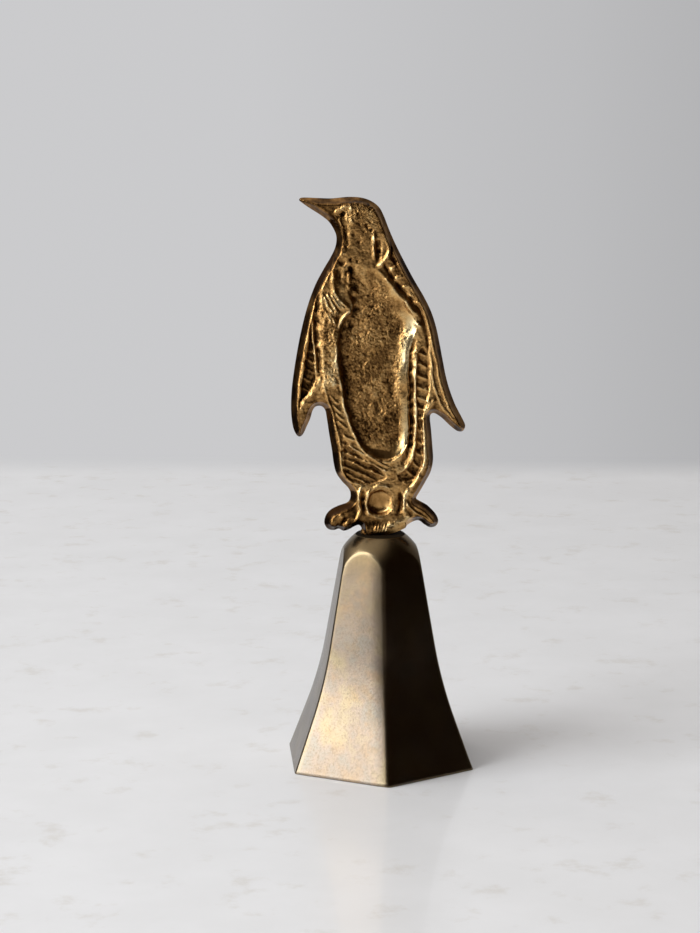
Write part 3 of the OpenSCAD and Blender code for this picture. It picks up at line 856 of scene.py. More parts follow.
        (-0.45, 0.55, ((-8, 69.4), (-8, 67.2), (-7.8, 65), (-7.9, 63.6))),
        (-0.65, 0.6, ((-9, 71.1), (-8.2, 70.9))),
        (-0.85, 0.75, ((-7.4, 58.6), (-6.6, 59))),
        (-0.4, 0.6, ((-9.4, 59.6), (-9.3, 57.6), (-8.9, 55.6))))
    # Small pits: place across and up, radius and depth
    pits: tuple[tuple[float, float, float, float], ...] = (
        (-5.2, 71, 0.28, 0.4), (-2.7, 72, 0.25, 0.4), (-1.9, 71.8, 0.22, 0.35), (-3.2, 68.3, 0.28, 0.45),
        (-2.4, 67.6, 0.25, 0.4), (-4, 67.4, 0.3, 0.25), (-6.2, 66.8, 0.45, 0.3), (-5, 65, 0.5, 0.25),
        (-9.7, 70.6, 0.25, 0.3), (-3.1, 73.0, 0.32, 0.5), (-6.9, 61.4, 0.3, 0.3), (-5.6, 60.8, 0.35, 0.3),
        (-8.6, 60.5, 0.8, 0.5), (-2.3, 72.1, 0.3, 0.5), (-3.5, 68.9, 0.3, 0.5), (-5.6, 55.2, 0.7, 0.35),
        (-6.2, 52.8, 0.8, 0.4), (-5.6, 50.2, 0.9, 0.4), (-6.9, 46.5, 0.8, 0.35))
    # Tints: where each lies, and how much paler it makes the brass; they are partly the brass's own tone and
    # partly painted highlight and painted shade
    tints: tuple[tuple[Area, tuple[Spot | Patch, ...]], ...] = (
        (Area.FACE, (
            # Left shoulder, throat, left fan, right leg, right shoulder, strokes and below the belly
            Spot(0.07, -11.3, 55.5, 1.8, 2.0), Spot(0.08, -5.0, 64, 2.5, 2.0), Spot(0.45, -11, 51, 1.9, 2.4),
            Spot(0.12, 6.3, 7.6, 1.3, 1.8), Spot(-0.06, 4.2, 57, 2.4, 2.6), Spot(-0.09, -4.5, 14.6, 3.6, 2.8),
            Spot(0.08, 3.2, 14.2, 2.2, 1.6),
            # Neck, ladder, left flipper and its tip, head, both sides of the boss, beak and both feet
            Patch(-0.09, (), ((53, 58), (66, 62))),
            Patch(0.06, ((7.0, 7.8), (10.8, 9.8)), ((14, 17), (43, 40))),
            Patch(-0.12, ((-14.0, -14.6),), ((28, 31), (48, 44))),
            Patch(-0.10, ((-14.8, -16.2),), ((30, 27),)),
            Patch(0.05, ((-10, -8),), ((62, 65),)),
            Patch(-0.22, ((0.6, -1.4), (-5.2, -4.4)), ((3.4, 2.4),)),
            Patch(0.20, ((0.2, 1.4), (7.4, 6.4)), ((4.4, 3.6),)),
            Patch(-0.14, ((-10.4, -12.0),), ((68, 70),)),
            Patch(-0.204, ((-5.2, -6.2),), ((7.2, 6.0),)),
            Patch(-0.102, ((6.8, 8.0),), ((7.2, 6.0),)))),
        (Area.BAND, (Patch(0.16), Patch(-0.36, (), ((38, 43),)))),
        (Area.HEAD, (Patch(-0.06),)),
        (Area.SEAM, (Spot(0.08, -8.4, 0, 0.9, math.inf),)),
        (Area.FLOOR, (Patch(0.03, (), ((32, 35), (42, 39))), Patch(0.30, (), ((23, 19),)))),
        (Area.ROUGH, (Patch(-0.11, (), ((57, 50),)), Patch(-0.05, (), ((34, 26),)))),
        # Painted highlight down the polished right side of the belly, brightest near its top, with painted
        # shade over it around 33 mm
        (Area.POLISH_AND_HIGHLIGHT, (Patch(0.22), Spot(0.22, 0, 45.2, math.inf, 2.6), Spot(-0.33, 0, 33, math.inf, 3.0),
                       Spot(0.18, 0, 39.7, math.inf, 1.8))),
        (Area.FOOT, (Patch(0.10),)),
        (Area.SHELF, (Patch(0.08),)),
        # Painted shade on the outline's wall, less of it where the wall faces right
        (Area.WALL, (Patch(-0.26),)),
        (Area.RIGHT_WALL, (Patch(0.12),)),
        # Painted shade on the shoulder, dimming its highlight
        (Area.SHOULDER, (Patch(-0.05),)),
        (Area.BORDER, (Patch(0.15, ((-8.6, -10.4),), ((65.5, 67.5),)),)),
        (Area.EDGE, (Patch(0.07, ((-14, -16),)), Patch(-0.08, ((-12.4, -11.6),), ((11, 14), (28, 25))),
                     Spot(0.20, -10.2, 68.2, 1.4, 2.4))),
        # Painted shade on the crest, dimming its highlight, most of all on the left of the neck
        (Area.CREST, (Patch(-0.10), Patch(-0.22, ((-5, -7), (-12, -10.5)), ((54, 58),)))))

    def belly_at(self, q: Array) -> tuple[Array, Array, dict[Area, Array]]:
        """Works out the hollow belly, with a steep left side and a long polished right one.

        Args:
            q: Places on the face.

        Returns:
            Its depth, where its upper right corner is, and where its parts are, from 0 to 1.
        """
        x, h = q.T
        gap = depth_inside(q, smooth_line(self.belly, 5, True))
        corner, lower = self.upper_corner.at(x, h), self.lower_corner.at(x, h)
        right = self.belly_right.at(x, h)
        side = 1.6 + 2.6 * ease(-6, 5, x) + 5.0 * ease(50, 56, h) - 1.3 * corner
        slope = 2.8 + 0.4 * np.exp(-((h - 33) / 4.0) ** 2) - 0.4 * ease(26, 20, h)
        slope -= 0.5 * np.exp(-((h - 39.7) / 2.0) ** 2)
        side += right * (1 - corner) * (slope - side)
        deep = self.belly_deep * (1 - (0.32 - 0.2 * right) * np.clip((h - 40) / 18, -1.2, 1.2) ** 2)
        deep += self.upper_cup.at(x, h) + self.lower_deep * lower
        share = np.clip(gap / side, 0, 1)
        steep = share + share * (1 - share)
        deep *= steep + right * (share ** (1.5 - 0.5 * corner - 0.3 * lower) - steep)
        within = ease(0.0, 0.2, gap)
        floor = ease(0.4, 2.2, gap)
        polish = ease(3.2, 1.2, gap) * within * ease(2.6, 4.6, x) * ease(51, 48, h)
        return deep, corner, {
            Area.FLOOR: floor, Area.ROUGH: floor * (1 - polish), Area.POLISH_AND_HIGHLIGHT: polish,
            Area.FOOT: right * np.exp(-((gap - 3.2) / 0.8) ** 2),
            Area.SHELF: ease(3.0, 1.8, gap) * within * ease(21.0, 18.8, h)}

    def dish_at(self, q: Array) -> tuple[Array, Array, Array]:
        """Works out the round dish between the feet.

        Args:
            q: Places on the face.

        Returns:
            Its depth, where it is from 0 to 1, and its painted light: a painted highlight on its lower right
            and painted shade on its left.
        """
        aside, above = (q - np.array([self.dish_x, self.dish_h])).T / self.dish_r
        cup = 1 - aside ** 2 - above ** 4
        deep = self.dish_deep * (cup + np.sqrt(cup ** 2 + 0.02)) * (1 - 0.4 * np.clip(above, -1.5, 1.5))
        dish = ease(2.9, 2.3, self.dish_r * np.hypot(aside, above))
        # Painted highlight on the dish's lower right and painted shade on its left side
        pale = 0.24 * ease(0.4, 1.0, aside - 0.6 * above) - 0.10 * ease(0.5, -0.8, aside)
        return deep, dish, dish * pale

    def lines_at(self, q: Array, seed: int) -> Array:
        """Works out the raised lines, the sunk lines and the pits.

        Args:
            q: Places on the face.
            seed: The first of the face's random fields.

        Returns:
            How far they stand up at each place.
        """
        ridges, grooves = np.zeros(len(q)), np.zeros(len(q))
        bite = 0.55 + 0.85 * grain(q, 0.9, seed + 2)
        bite += self.hatching.at(*q.T) * (0.25 + 1.4 * grain(q, 0.62, seed + 8) - bite)
        for lift, width, *lines in self.strokes:
            target = ridges if lift > 0 else grooves
            reach = 3.0 * width
            for line in lines:
                path = smooth_line(line, 4)
                near = np.nonzero(((q > path.min(0) - reach) & (q < path.max(0) + reach)).all(1))[0]
                gap, along = path_distance(q[near], path)
                ends = 0.35 + 0.65 * np.clip(np.minimum(along, 1 - along) / 0.12, 0, 1)
                rise = abs(lift) * np.exp(-(gap / width) ** 2) * ends * bite[near]
                target[near] = np.maximum(target[near], rise)
        for x, h, wide, deep in self.pits:
            grooves = np.maximum(grooves, Spot(deep, x, h, wide, wide).at(*q.T))
        return ridges - grooves

    def tone_at(self, q: Array, rim: Array, turned: Array, forms: dict[Area, Array]) -> Array:
        """Adds up the tints.

        Args:
            q: Places on the face.
            rim: How far each place lies inside the outline.
            turned: How far the outline beside it faces right, from 0 to 1.
            forms: Where the forms of the face are, from 0 to 1.

        Returns:
            How much paler the brass is at each place, partly its own tone and partly painted highlight and
            painted shade.
        """
        x, h = q.T
        wall, border, left = ease(1.4, 0.7, rim), ease(1.6, 1.0, rim), 1 - turned
        areas = forms | {
            Area.FACE: np.ones(len(q)), Area.SEAM: self.seam.at(x, h), Area.WALL: wall,
            Area.RIGHT_WALL: wall * turned, Area.SHOULDER: ease(2.2, 1.4, rim), Area.BORDER: border,
            Area.EDGE: border * left, Area.CREST: np.exp(-(((rim - 1.3) / 0.4) ** 2)) * left}
        return sum(areas[area] * sum(tint.at(x, h) for tint in tints) for area, tints in self.tints)

    def relief(self, p: Array, triangles: list, rim: Array, turned: Array,
               face: Face) -> tuple[Array, dict[str, Array]]:
        """Works out one face of the casting.

        Args:
            p: Places on the face, across and above the crown.
            triangles: The triangles that join them.
            rim: How far each place lies inside the outline.
            turned: How far the outline beside it faces right, from 0 to 1.
            face: Which face it is.

        Returns:
            How far each place stands from the plaque's middle, and the marks that guide the finish.
        """
        front = face is Face.FRONT
        seed = self.front_seed if front else self.back_seed
        stray = np.stack([grain(p, 1.7, seed), grain(p, 1.7, seed + 1)], -1) - 0.5
        q = p - np.array(self.front_shift if front else (0, 0)) + self.wander * stray
        band, head = self.band.at(*q.T), self.head.at(*q.T)
        belly_deep, corner, forms = self.belly_at(q)
        dish_deep, dish, dish_painted_light = self.dish_at(q)
        level = self.field_h + self.band_lift * band + self.head_lift * head - belly_deep - dish_deep
        level += self.boss_swell.at(*q.T) + self.leg_gap.at(*q.T)
        for hollow in self.hollows:
            gap = depth_inside(q, smooth_line(hollow.points, 4, True))
            level -= hollow.depth * ease(0, hollow.side, gap)
        polish = forms[Area.POLISH_AND_HIGHLIGHT]
        coarse = 0.55 + 0.45 * np.maximum.reduce([forms[Area.FLOOR], band, np.clip(1.4 * head, 0, 1)])
        coarse = coarse * (0.6 + 0.6 * grain(p, 3.6, seed + 6)) + 0.35 * band
        coarse *= (1 - 0.85 * dish) * (1 - 0.85 * polish * (1 - 0.15 * corner))
        coarse *= (0.12 + 0.88 * ease(0.6, 1.5, rim)) * (1 - 0.75 * forms[Area.SHELF])
        matt = 0.105 * ease(0.6, 1.4, rim) * (1 - 0.5 * polish * (1 - 0.3 * corner)) * (1 - 0.3 * dish)
        rough = -0.16 * ease(0.66, 0.9, grain(p, 0.8, seed + 5))
        for strength, cell, squeeze, number in self.grains:
            rough += strength * (grain(p * np.array([1, squeeze]), cell, seed + number) - 0.5)
        level += ease(0.35, 1.0, rim) * (self.lines_at(q, seed) + coarse * rough)
        shoulder = self.shoulder_h + self.shoulder_slope * rim + self.no_shoulder * (1 - turned)
        wall = lower_of(self.wall_foot + self.wall_slope * rim, shoulder, 0.25)
        wear_and_painted_light = self.wear(level, triangles)
        tone = self.tone_at(q, rim, turned, forms | {Area.BAND: band, Area.HEAD: head})
        # The wear mark adds the tints and the dish's painted light to the ridges and hollows, so it carries
        # painted highlight and painted shade
        wear_and_painted_light += (0.55 - wear_and_painted_light) * dish + tone + dish_painted_light
        return lower_of(wall, level, 0.12), {"wear": wear_and_painted_light, "coarse": coarse, "matt": 0.175 + matt}

    def rim_line(self) -> Array:
        """Draws the outline at its real size, with points at an even gap."""
        return even_spacing(smooth_line(self.outline, 10, True) * (self.real_h / self.drawn_h), self.gap)

    def sheet(self, rim: Array) -> tuple[Array, list]:
        """Fills the outline with small triangles.

        Args:
            rim: The points of the outline.

        Returns:
            The points and the triangles.
        """
        closed = np.vstack([rim, rim[:1]])
        layers = [rim]
        for offset in self.border_rings:
            ring = rim + inward(rim) * offset
            gap, _ = path_distance(ring, closed)
            layers.append(ring[gap > 0.96 * offset])
        low, high = rim.min(0), rim.max(0)
        rows = np.arange(low[1], high[1], self.gap * math.sqrt(3) / 2)
        x, h = np.meshgrid(np.arange(low[0], high[0], self.gap), rows)
        x = x + (np.arange(len(rows)) % 2)[:, None] * self.gap / 2
        field = np.stack([x.ravel(), h.ravel()], -1)
        layers.append(field[depth_inside(field, rim) > self.border_clear])
        points = [Vector(v) for v in np.vstack(layers)]
        found = delaunay_2d_cdt(points, [], [list(range(len(rim)))], 1, 1e-5)
        return np.array([v[:] for v in found[0]]), found[2]

    def boss(self) -> tuple[Array, list]:
        """Makes the boss under the feet, a little to the left where it meets the crown.

        Returns:
            The points and faces of the boss.
        """
        angle = np.linspace(0, 2 * np.pi, self.boss_turns, endpoint=False)
        rows = []
        for r, h in smooth_line(self.boss_profile, 5):
            wide = r * (1 + 0.03 * np.sin(3 * angle + h) + 0.02 * np.sin(7 * angle - 2 * h))
            side = self.boss_shift * (1 - h / self.boss_h)
            rows.append(np.stack([side + wide * np.cos(angle), self.boss_flat * wide * np.sin(angle),
                                  np.full(self.boss_turns, CROWN_H + h)], -1))
        return np.vstack(rows), ring_faces(len(rows), self.boss_turns, False)

    def wear(self, heights: Array, faces: list) -> Array:
        """Finds what stands out and what is sunk, to guide the finish.

        Args:
            heights: The height of each point.
            faces: The triangles.

        Returns:
            About 0.5 on level ground, more on ridges and less in hollows.
        """
        tri = np.array([f for f in faces if len(f) == 3])
        a = np.concatenate([tri[:, 0], tri[:, 1], tri[:, 2]])
        b = np.concatenate([tri[:, 1], tri[:, 2], tri[:, 0]])
        count = np.maximum(np.bincount(a, minlength=len(heights)), 1)
        fine = broad = heights
        for turn in range(self.broad_rounds):
            broad = np.bincount(a, broad[b], minlength=len(heights)) / count
            if turn + 1 == self.fine_rounds:
                fine = broad
        return np.clip(0.52 + 1.0 * (heights - fine) + 0.40 * (fine - broad), 0, 1)

    def build(self, finish: FigureBrass) -> bpy.types.Object:
        """Makes the whole handle as one casting and puts it in place of its solid.

        Args:
            finish: The brass that it is cast in.

        Returns:
            The new piece.
        """
        line = self.rim_line()
        flat, triangles = self.sheet(line)
        rim, along = path_distance(flat, np.vstack([line, line[:1]]))
        turned = ease(0.1, 0.6, np.interp(along * len(line), np.arange(len(line)), -inward(line)[:, 0]))
        rim = rim + self.boss_joint.at(*flat.T)
        sides, marks = [], []
        for face in Face:
            heights, found = self.relief(flat, triangles, rim, turned, face)
            sides.append(np.stack([flat[:, 0], face.value * heights, flat[:, 1] + CROWN_H], -1))
            marks.append(found)
        total = len(flat)
        faces = [tuple(t) for t in triangles]
        faces += [tuple(total + v for v in reversed(t)) for t in triangles]
        sides_used = dict.fromkeys((v, t[(i + 1) % len(t)]) for t in triangles for i, v in enumerate(t))
        faces += [(w, v, total + v, total + w) for v, w in sides_used if (w, v) not in sides_used]
        boss_points, boss_faces = self.boss()
        faces += [tuple(2 * total + v for v in f) for f in boss_faces]
        piece = make_piece("cast_penguin", np.vstack([*sides, boss_points]), faces, finish.material())
        for name, value in self.boss_marks:
            values = [found[name] for found in marks] + [np.full(len(boss_points), value)]
            mark_points(piece, name, np.concatenate(values))
        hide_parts("penguin_handle")
        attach(piece, "bell")
        return piece


@dataclass
class BellShell:
    """The six-sided bell: two slopes blended on each face, rounded corners and a round crown."""

    mouth_flats: float = 40.0
    wall: float = 1.9
    skirt: float = math.radians(19.4)
    waist: float = math.radians(9.6)
    knee_h: float = 19.0
    blend_r: float = 96.0
    shoulder_h: float = 44.0
    flat_r: float = 5.4
    inside_h: float = 49.8
    bore_r: float = 2.1
    corner_blend: float = 0.20
    front_blend: float = 0.18
    front_start: float = math.cos(math.radians(28))
    front_full: float = math.cos(math.radians(14))
    front_soft: float = 0.15
    front_reach: float = 3.6
    # Half width of the painted highlight along the arches
    arch_width: float = 0.30
    lip: float = 0.18
    bulge: float = 0.20
    crown_blend: float = 0.20
    corner_cut: float = 0.1
    corner_room: float = 0.4
    crown_rings: tuple[float, ...] = (5.1, 3.6)
    inside_ring: float = 3.4
    bore_bevel: float = 0.15
    inside_bevel: float = 0.1
    inside_step: float = 0.5
    lip_turns: tuple[float, ...] = (0.1, 0.35, 0.65, 1.0)
    edge_top: float = 47.0
    columns: int = 48
    outer_rows: tuple[int, int] = (110, 70)
    inner_rows: tuple[int, int] = (60, 24)
    rounding_steps: int = 12
    # Slow waves of the cast faces: strength, waves round the bell, lean and start
    waves: tuple[tuple[float, int, float, float], ...] = ((0.020, 2, 0.16, 0.0), (0.015, 5, -0.21, 1.3))

    def half_width(self, z: Array, a: float, stretch: float = 1.0) -> Array:
        """Gives the distance of a face from the axis.

        Args:
            z: Heights.
            a: The distance at the mouth.
            stretch: 1 for a face, and more for a corner.

        Returns:
            The distance at each height.
        """
        skirt, waist = (math.atan(math.tan(v) * stretch) for v in (self.skirt, self.waist))
        knee = np.array([a - self.knee_h * math.tan(skirt), self.knee_h])
        run = self.blend_r * math.tan((skirt - waist) / 2)
        low = knee + run * np.array([math.sin(skirt), -math.cos(skirt)])
        high = knee + run * np.array([-math.sin(waist), math.cos(waist)])
        centre = low + self.blend_r * np.array([math.cos(skirt), math.sin(skirt)])
        arc = centre[0] - np.sqrt(np.maximum(self.blend_r**2 - (z - centre[1]) ** 2, 0))
        line = np.where(z < low[1], a - z * math.tan(skirt), knee[0] - (z - self.knee_h) * math.tan(waist))
        return np.where((z >= low[1]) & (z <= high[1]), arc, line)

    def crown(self, a: float, top: float, flat_r: float, turns: Array) -> tuple[Array, Array]:
        """Draws the round crown from the shoulder to the edge of its flat.

        Args:
            a: The distance of a face from the axis at the mouth.
            top: The height of the flat.
            flat_r: The radius of the flat.
            turns: Shares of the way from the shoulder to the flat.

        Returns:
            The radius and the height at each share.
        """
        start_r = float(self.half_width(np.array(self.shoulder_h), a)) * STRETCH - self.corner_cut
        lean = math.atan(math.tan(self.waist) * STRETCH)
        outward = np.array([math.cos(lean), math.sin(lean)])
        reach = np.array([flat_r - start_r, top - self.shoulder_h])
        radius = -(reach @ reach) / (2 * (reach @ outward))
        centre = np.array([start_r, self.shoulder_h]) - radius * outward
        end = math.atan2(top - centre[1], flat_r - centre[0])
        angle = lean + (end - lean) * turns
        return centre[0] + radius * np.cos(angle), centre[1] + radius * np.sin(angle)

    def ring(self, angle: Array, a: float) -> Array:
        """Gives the radius of a hexagon with rounded corners at each angle.

        Args:
            angle: Angles round the axis.
            a: The distance of its sides from the axis.

        Returns:
            The radius at each angle.
        """
        turn = from_middle(angle)
        near, far = np.cos(turn), np.cos(2 * HALF_SIDE - turn)
        front = ease(self.front_start, self.front_full, -np.sin(angle))
        blend = self.corner_blend + (self.front_blend - self.corner_blend) * front
        radius = a / near
        for _ in range(self.rounding_steps):
            lift = np.logaddexp(radius * near / blend, radius * far / blend)
            share = 1 / (1 + np.exp(-(near - far) * radius / blend))
            radius -= (lift * blend - a) / (near * share + far * (1 - share))
        return radius

    def sway(self, angle: Array, z: float, flat: float) -> Array:
        """Works out how far the cast faces stray from plain ones.

        Args:
            angle: Angles round the axis.
            z: The height.
            flat: The distance of a face from the axis there.

        Returns:
            How far out each place lies.
        """
        slant, corner = np.tan(from_middle(angle)), math.tan(HALF_SIDE)
        out = self.bulge * (0.6 - (slant / corner) ** 2)
        for strength, count, lean, start in self.waves:
            out += strength * np.sin(count * angle + lean * z + start)
        out *= 1 - abs(2 * z / CROWN_H - 1)
        soft = np.clip(1 - flat * (corner - slant) / self.front_reach, 0, 1) ** 2
        at_front = -np.sin(angle) > math.cos(HALF_SIDE) - 1e-9
        return out - at_front * self.front_soft * soft

    def rows(self, angle: Array, inset: float, top: float, flat_r: float, skirt_rows: int,
             crown_rows: int) -> tuple[list[Array], list[Array]]:
        """Lays the bell's outer or inner side as rings of points, from the mouth up.

        Args:
            angle: Angles round the axis.
            inset: The level distance inside the outer side.
            top: The height of its top.
            flat_r: The radius where the crown ends.
            skirt_rows: Rings below the shoulder.
            crown_rows: Rings on the crown.

        Returns:
            One array of points a ring, and one of how near each point is to the edge between face and crown.
        """
        a = self.mouth_flats / 2 - inset
        low = np.linspace(0, self.shoulder_h, skirt_rows, endpoint=False)
        low_r = self.half_width(low, a * STRETCH - self.corner_cut, STRETCH) + self.corner_room
        high_r, high = self.crown(a, top, flat_r, np.linspace(0, 1, crown_rows))
        circle = np.stack([np.cos(angle), np.sin(angle)], -1)
        found, arch_highlights = [], []
        for r, z in zip(np.concatenate([low_r, high_r]), np.concatenate([low, high])):
            flat = float(self.half_width(np.array(z), a))
            side = self.ring(angle, flat)
            if inset == 0:
                side = side + self.sway(angle, z, flat)
            radius = lower_of(side, np.full(len(angle), r), self.crown_blend)
            found.append(np.insert(radius[:, None] * circle, 2, z, axis=1))
            arch_highlights.append(np.exp(-((side - r) / self.arch_width) ** 2) * (z >= self.shoulder_h))
        return found, arch_highlights

    def build(self, finish: BellBrass) -> bpy.types.Object:
        """Makes the hollow bell and puts it in place of its solid.

        Args:
            finish: The brass that it is cast in.

        Returns:
            The new piece.
        """
        share = np.linspace(-1, 1, self.columns, endpoint=False)
        spread = 0.55 * share + 0.45 * np.sin(share * np.pi / 2)
        angle = np.concatenate([2 * HALF_SIDE * k + HALF_SIDE * spread for k in range(6)])
        outer, arch_highlights = self.rows(angle, 0.0, CROWN_H, self.flat_r, *self.outer_rows)
        inner_r, bore, under = self.flat_r - self.inside_step, self.bore_r, self.inside_h
        inner, _ = self.rows(angle, self.wall, under, inner_r, *self.inner_rows)
        circle = np.stack([np.cos(angle), np.sin(angle), np.zeros(len(angle))], -1)
        flats = [circle * r + np.array([0, 0, z]) for r, z in (
            *((r, CROWN_H) for r in self.crown_rings), (bore + self.bore_bevel, CROWN_H),
            (bore, CROWN_H - self.bore_bevel), (bore, under + self.inside_bevel),
            (bore + self.inside_bevel, under), (self.inside_ring, under))]
        rim = []
        size = np.linalg.norm(outer[0][:, :2], axis=1, keepdims=True)
        for turn in self.lip_turns:
            drop = self.lip * (1 - math.sin(turn * math.pi / 2))
            ring = outer[0] * (size - drop) / size
            ring[:, 2] = self.lip * (1 - math.cos(turn * math.pi / 2))
            rim.append(ring)
        rings = rim + outer[2:] + flats + inner[::-1]
        points = np.vstack(rings)
        faces = ring_faces(len(rings), len(angle), True)
        piece = make_piece("cast_bell", points, faces, finish.material())
        edge = np.tile(ease(0.80, 1.0, from_middle(angle) / HALF_SIDE), len(rings))
        mark_points(piece, "edge", edge * (points[:, 2] < self.edge_top))
        # Painted highlight along the arches, none on the lip and the flats
        arch_highlight = np.concatenate([np.zeros(len(rim) * len(angle)), *arch_highlights[2:]])
        mark_points(piece, "arch_highlight", np.concatenate([arch_highlight, np.zeros(len(points) - len(arch_highlight))]))
        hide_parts("bell_shell")
        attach(piece, "bell")
        return piece


@dataclass
class Fittings:
    """The stud, washer, nut and clapper inside the bell, which keep their solids."""

    fixing: tuple[str, ...] = ("handle_stud", "crown_washer", "crown_nut", "clapper_hanger")
    clapper: tuple[str, ...] = ("clapper_link", "clapper_rod", "clapper_ball")

    def dress(self, nodes: dict[str, bpy.types.Object]) -> None:
        """Gives each fitting its brass.

        Args:
            nodes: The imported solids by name.
        """
        finishes = (
            (self.fixing, TurnedBrass("fixing_brass")),
            (self.clapper, TurnedBrass("clapper_brass", (0.58, 0.44, 0.20), (0.36, 0.25, 0.10), (1, 1, 1))))
        for names, finish in finishes:
            material = finish.material()
            for name in names:
                solid = nodes[name]
                solid.data.materials.clear()
                solid.data.materials.append(material)
                LOG.info("dressed %s in %s", name, finish.name)


@dataclass
class Studio:
    """A pale stone table, a pale wall far behind it and soft light from a tall window on the left."""

    turn: float = math.radians(-5.9)
    board: Points = (
        (-410, -420), (150, -420), (150, 381), (-160, 381), (-108, 40), (-108, -60), (-410, -260))
    board_rounding: Points = ((0.0, 0.0), (2.0, -0.6), (3.4, -2.0), (4.0, -4.0), (4.0, -30.0))
    stone_grey: Colour = (0.80, 0.80, 0.806)
    stone_pale: Colour = (0.84, 0.84, 0.85)
    stone_speck: Colour = (0.60, 0.56, 0.50)
    soft_edge: float = 43.0
    table_reach: float = 0.198
    wall_reach: float = 0.36
    # The wall's left, right, lower and upper edges
    wall_edges: tuple[float, float, float, float] = (-800.0, 350.0, -900.0, 1800.0)
    wall_back: float = 1150.0
    wall_paint: Paint = (0.62, 0.62, 0.63, 1)
    # Painted light on the wall, falling from left to right: where each tone stands across it, and how bright
    # it is
    wall_stops: Points = ((0.0, 0.598), (0.29, 0.588), (0.74, 0.505), (0.88, 0.460), (1.0, 0.43))
    room_seen: Paint = (0.47, 0.47, 0.48, 1)
    room_dark: Paint = (1.0, 0.50, 0.14, 1)
    room_light: Paint = (1.0, 0.97, 0.94, 1)
    room_glow: float = 0.020
    # Soft lights of the room: direction, where each starts and is full, and strength
    room_glows: tuple[tuple[Colour, float, float, float], ...] = (
        ((-0.5, 0, 0.86), 0.55, 0.97, 1.10), ((0.64, 0.76, 0.1), 0.55, 0.95, 0.17),
        ((0, -1, -0.35), 0.86, 0.99, 0.42), ((-0.1, 0.75, 0.65), 0.40, 0.95, 0.34),
        ((-0.95, 0.3, -0.2), 0.88, 0.99, 0.10))
    window_turn: float = math.radians(-70)
    window_far: float = 1.5
    window_wide: float = 1.1
    window_rise: float = 0.06
    # Panes: the angles of their lower and upper edges, and strength
    window_panes: tuple[tuple[float, float, float], ...] = ((6.7, 45.0, 7.2), (-10.0, 6.7, 3.4))
    window_tint: Colour = (0.94, 0.97, 1.0)

    def table(self) -> None:
        """Makes the table top of polished pale stone, with faint brown specks and a rounded edge."""
        made = Recipe("pale_table")
        cloud = made.range(made.noise(26.0, 4.0, 0.6), 0.3, 0.75, 0, 1)
        specks = made.range(made.noise(9.0, 5.0, 0.62, shift=5.0), 0.55, 0.75, 0, 0.42)
        stone = made.ramp(cloud, (0.0, self.stone_grey), (1.0, self.stone_pale))
        made.join(made.mix(specks, stone, self.stone_speck), made.surface.inputs["Base Color"])
        made.fill(made.surface, Roughness=0.34, Coat_Weight=0.28, Coat_Roughness=0.03)
        corners = np.array(self.board, float)
        back = corners[:, 1].max()
        # Towards its back edge the table fades, for the camera, into the wall's painted light
        fade = made.range(made.mark("depth"), back - self.soft_edge, back, 0, 1)
        seen = made.sum("MULTIPLY", fade, made.add("LightPath").outputs["Is Camera Ray"])
        made.glow(seen, self.wall_painted_light(made, self.table_reach))
        outward = np.sign(corners - corners.mean(0))
        rings = [np.insert(corners + out * outward, 2, z, axis=1) for out, z in self.board_rounding]
        faces = [tuple(range(len(corners)))]
        faces += [face[::-1] for face in ring_faces(len(rings), len(corners), False)]
        table = self.stand("pale_board", np.vstack(rings), faces, made.material)
        table.data.polygons.foreach_set("use_smooth", [False] * len(table.data.polygons))

    def stand(self, name: str, points: Array, faces: list, material: bpy.types.Material) -> bpy.types.Object:
        """Stands a piece of the stage in the room, and marks how far right and how far back its points are.

        Args:
            name: The piece's name.
            points: Its points before the room is turned.
            faces: The point numbers of each face.
            material: Its finish.

        Returns:
            The piece.
        """
        piece = make_piece(name, points @ np.array(Matrix.Rotation(self.turn, 3, "Z")).T, faces, material)
        mark_points(piece, "across", points[:, 0] * MM)
        mark_points(piece, "depth", points[:, 1])
        return piece

    def wall_painted_light(self, made: Recipe, reach: float) -> Socket:
        """Gives the wall's painted light, which falls from left to right, away from the window.

        Args:
            made: The material that it is for.
            reach: How far to the left it starts and to the right it ends, in metres.

        Returns:
            The painted light as a colour.
        """
        share = made.range(made.mark("across"), -reach, reach, 0, 1)
        return made.ramp(share, *((at, (tone, tone, 1.02 * tone)) for at, tone in self.wall_stops))

    def wall(self) -> None:
        """Makes the pale wall, which glows with its painted light for the camera and in reflections."""
        made = Recipe("pale_wall")
        made.fill(made.surface, Roughness=0.9, Base_Color=self.wall_paint)
        rays = made.add("LightPath").outputs
        seen = made.sum("MAXIMUM", rays["Is Camera Ray"], rays["Is Glossy Ray"])
        made.glow(seen, self.wall_painted_light(made, self.wall_reach))
        left, right, low, high = self.wall_edges
        corners = ((left, low), (right, low), (right, high), (left, high))
        points = np.array([(x, self.wall_back, z) for x, z in corners])
        wall = self.stand("back_wall", points, [(0, 1, 2, 3)], made.material)

    def window(self) -> None:
        """Hangs the window's panes."""
        for low, high, glow in self.window_panes:
            rise = math.radians(low + high) / 2
            tall = 2 * self.window_far * math.tan(math.radians(high - low) / 2)
            aim = Vector((math.sin(self.window_turn) * math.cos(rise),
                          -math.cos(self.window_turn) * math.cos(rise), math.sin(rise)))
            lamp = bpy.data.lights.new("window_pane", "AREA")
            lamp.shape = "RECTANGLE"
            lamp.size, lamp.size_y = self.window_wide, tall
            lamp.energy = glow * math.pi * self.window_wide * tall
            lamp.color = self.window_tint
            pane = bpy.data.objects.new("window_pane", lamp)
            pane.location = aim * self.window_far + Vector((0, 0, self.window_rise))
            pane.rotation_euler = aim.to_track_quat("Z", "Y").to_euler()
            pane.visible_camera = False
            bpy.context.scene.collection.objects.link(pane)

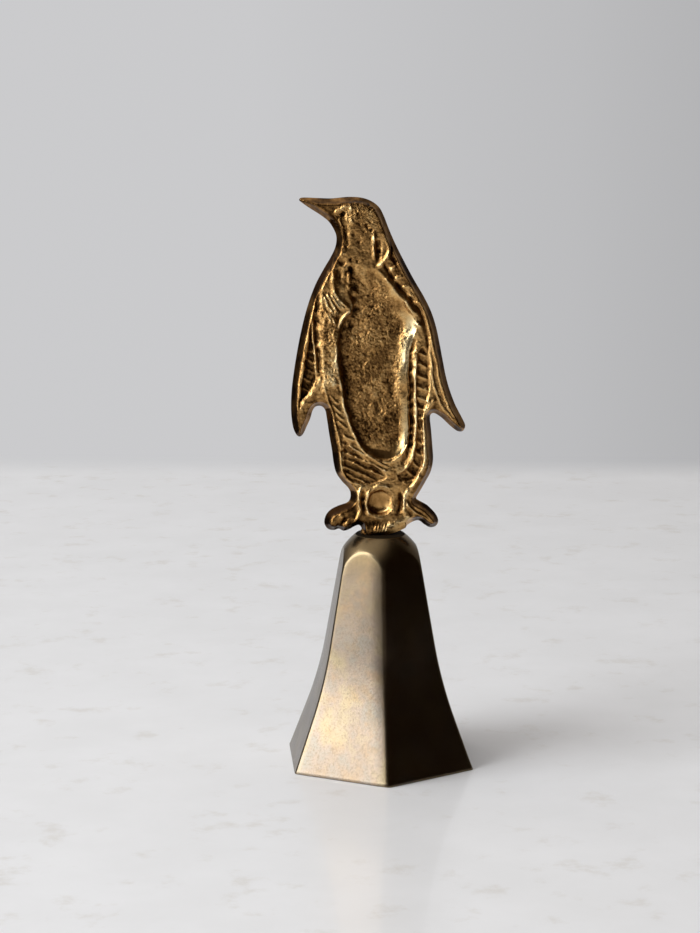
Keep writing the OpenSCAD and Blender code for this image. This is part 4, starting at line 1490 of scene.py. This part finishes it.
    def room(self) -> None:
        """Makes a dim room with soft lights, which the camera sees as a pale ground."""
        world = bpy.data.worlds.new("room")
        world.use_nodes = True
        made = Wiring(world.node_tree)
        way_out = made.add("TexCoord").outputs["Generated"]
        total = made.add("Background", Color=self.room_dark, Strength=self.room_glow).outputs[0]
        for way, low, high, strength in self.room_glows:
            dot = made.add("VectorMath")
            dot.operation = "DOT_PRODUCT"
            dot.inputs[1].default_value = Vector(way).normalized()
            made.join(way_out, dot.inputs[0])
            glow = made.add("Background", Color=self.room_light)
            made.join(made.range(dot.outputs["Value"], low, high, 0.0, strength), glow.inputs["Strength"])
            both = made.add("AddShader")
            made.join(total, both.inputs[0])
            made.join(glow.outputs[0], both.inputs[1])
            total = both.outputs[0]
        pale = made.add("Background", Color=self.room_seen)
        seen = made.choose(made.add("LightPath").outputs["Is Camera Ray"], total, pale.outputs[0])
        made.join(seen, made.add("OutputWorld").inputs["Surface"])
        bpy.context.scene.world = world

    def build(self) -> None:
        """Sets the stage."""
        self.table()
        self.wall()
        self.window()
        self.room()
        bpy.context.scene.view_settings.view_transform = "Standard"


@dataclass
class Viewpoint:
    """The camera, where the photograph was taken from."""

    far: float = 525.17
    up: float = 164.83
    turn: float = math.radians(-5.1775)
    pitch: float = 0.18389
    yaw: float = -0.01285
    focal: float = 2400.0
    frame_h: float = 933.0
    sensor: float = 36.0
    clip_far: float = 20.0

    def build(self) -> bpy.types.Object:
        """Makes the camera and gives it to the scene.

        Returns:
            The camera.
        """
        data = bpy.data.cameras.new("viewpoint")
        data.sensor_width = self.sensor
        data.lens = self.focal * self.sensor / self.frame_h
        data.clip_end = self.clip_far
        spin = Matrix.Rotation(self.turn, 3, "Z")
        level = math.cos(self.pitch)
        ahead = spin @ Vector((math.sin(self.yaw) * level, math.cos(self.yaw) * level, -math.sin(self.pitch)))
        right = spin @ Vector((math.cos(self.yaw), -math.sin(self.yaw), 0))
        upward = right.cross(ahead)
        camera = bpy.data.objects.new("viewpoint", data)
        place = Matrix((right, upward, -ahead)).transposed().to_4x4()
        place.translation = spin @ Vector((0, -self.far, self.up)) * MM
        camera.matrix_world = place
        bpy.context.scene.collection.objects.link(camera)
        bpy.context.scene.camera = camera
        return camera


def main() -> None:
    """Builds the stage and the part, piece by piece."""
    logging.basicConfig(level=logging.INFO)
    Viewpoint().build()
    Studio().build()
    bell = BellShell().build(BellBrass())
    LOG.info("made %s with %d faces", bell.name, len(bell.data.polygons))
    handle = PenguinHandle().build(FigureBrass())
    LOG.info("made %s with %d faces", handle.name, len(handle.data.polygons))
    Fittings().dress(frame["nodes"])


if __name__ == "__main__":
    main()
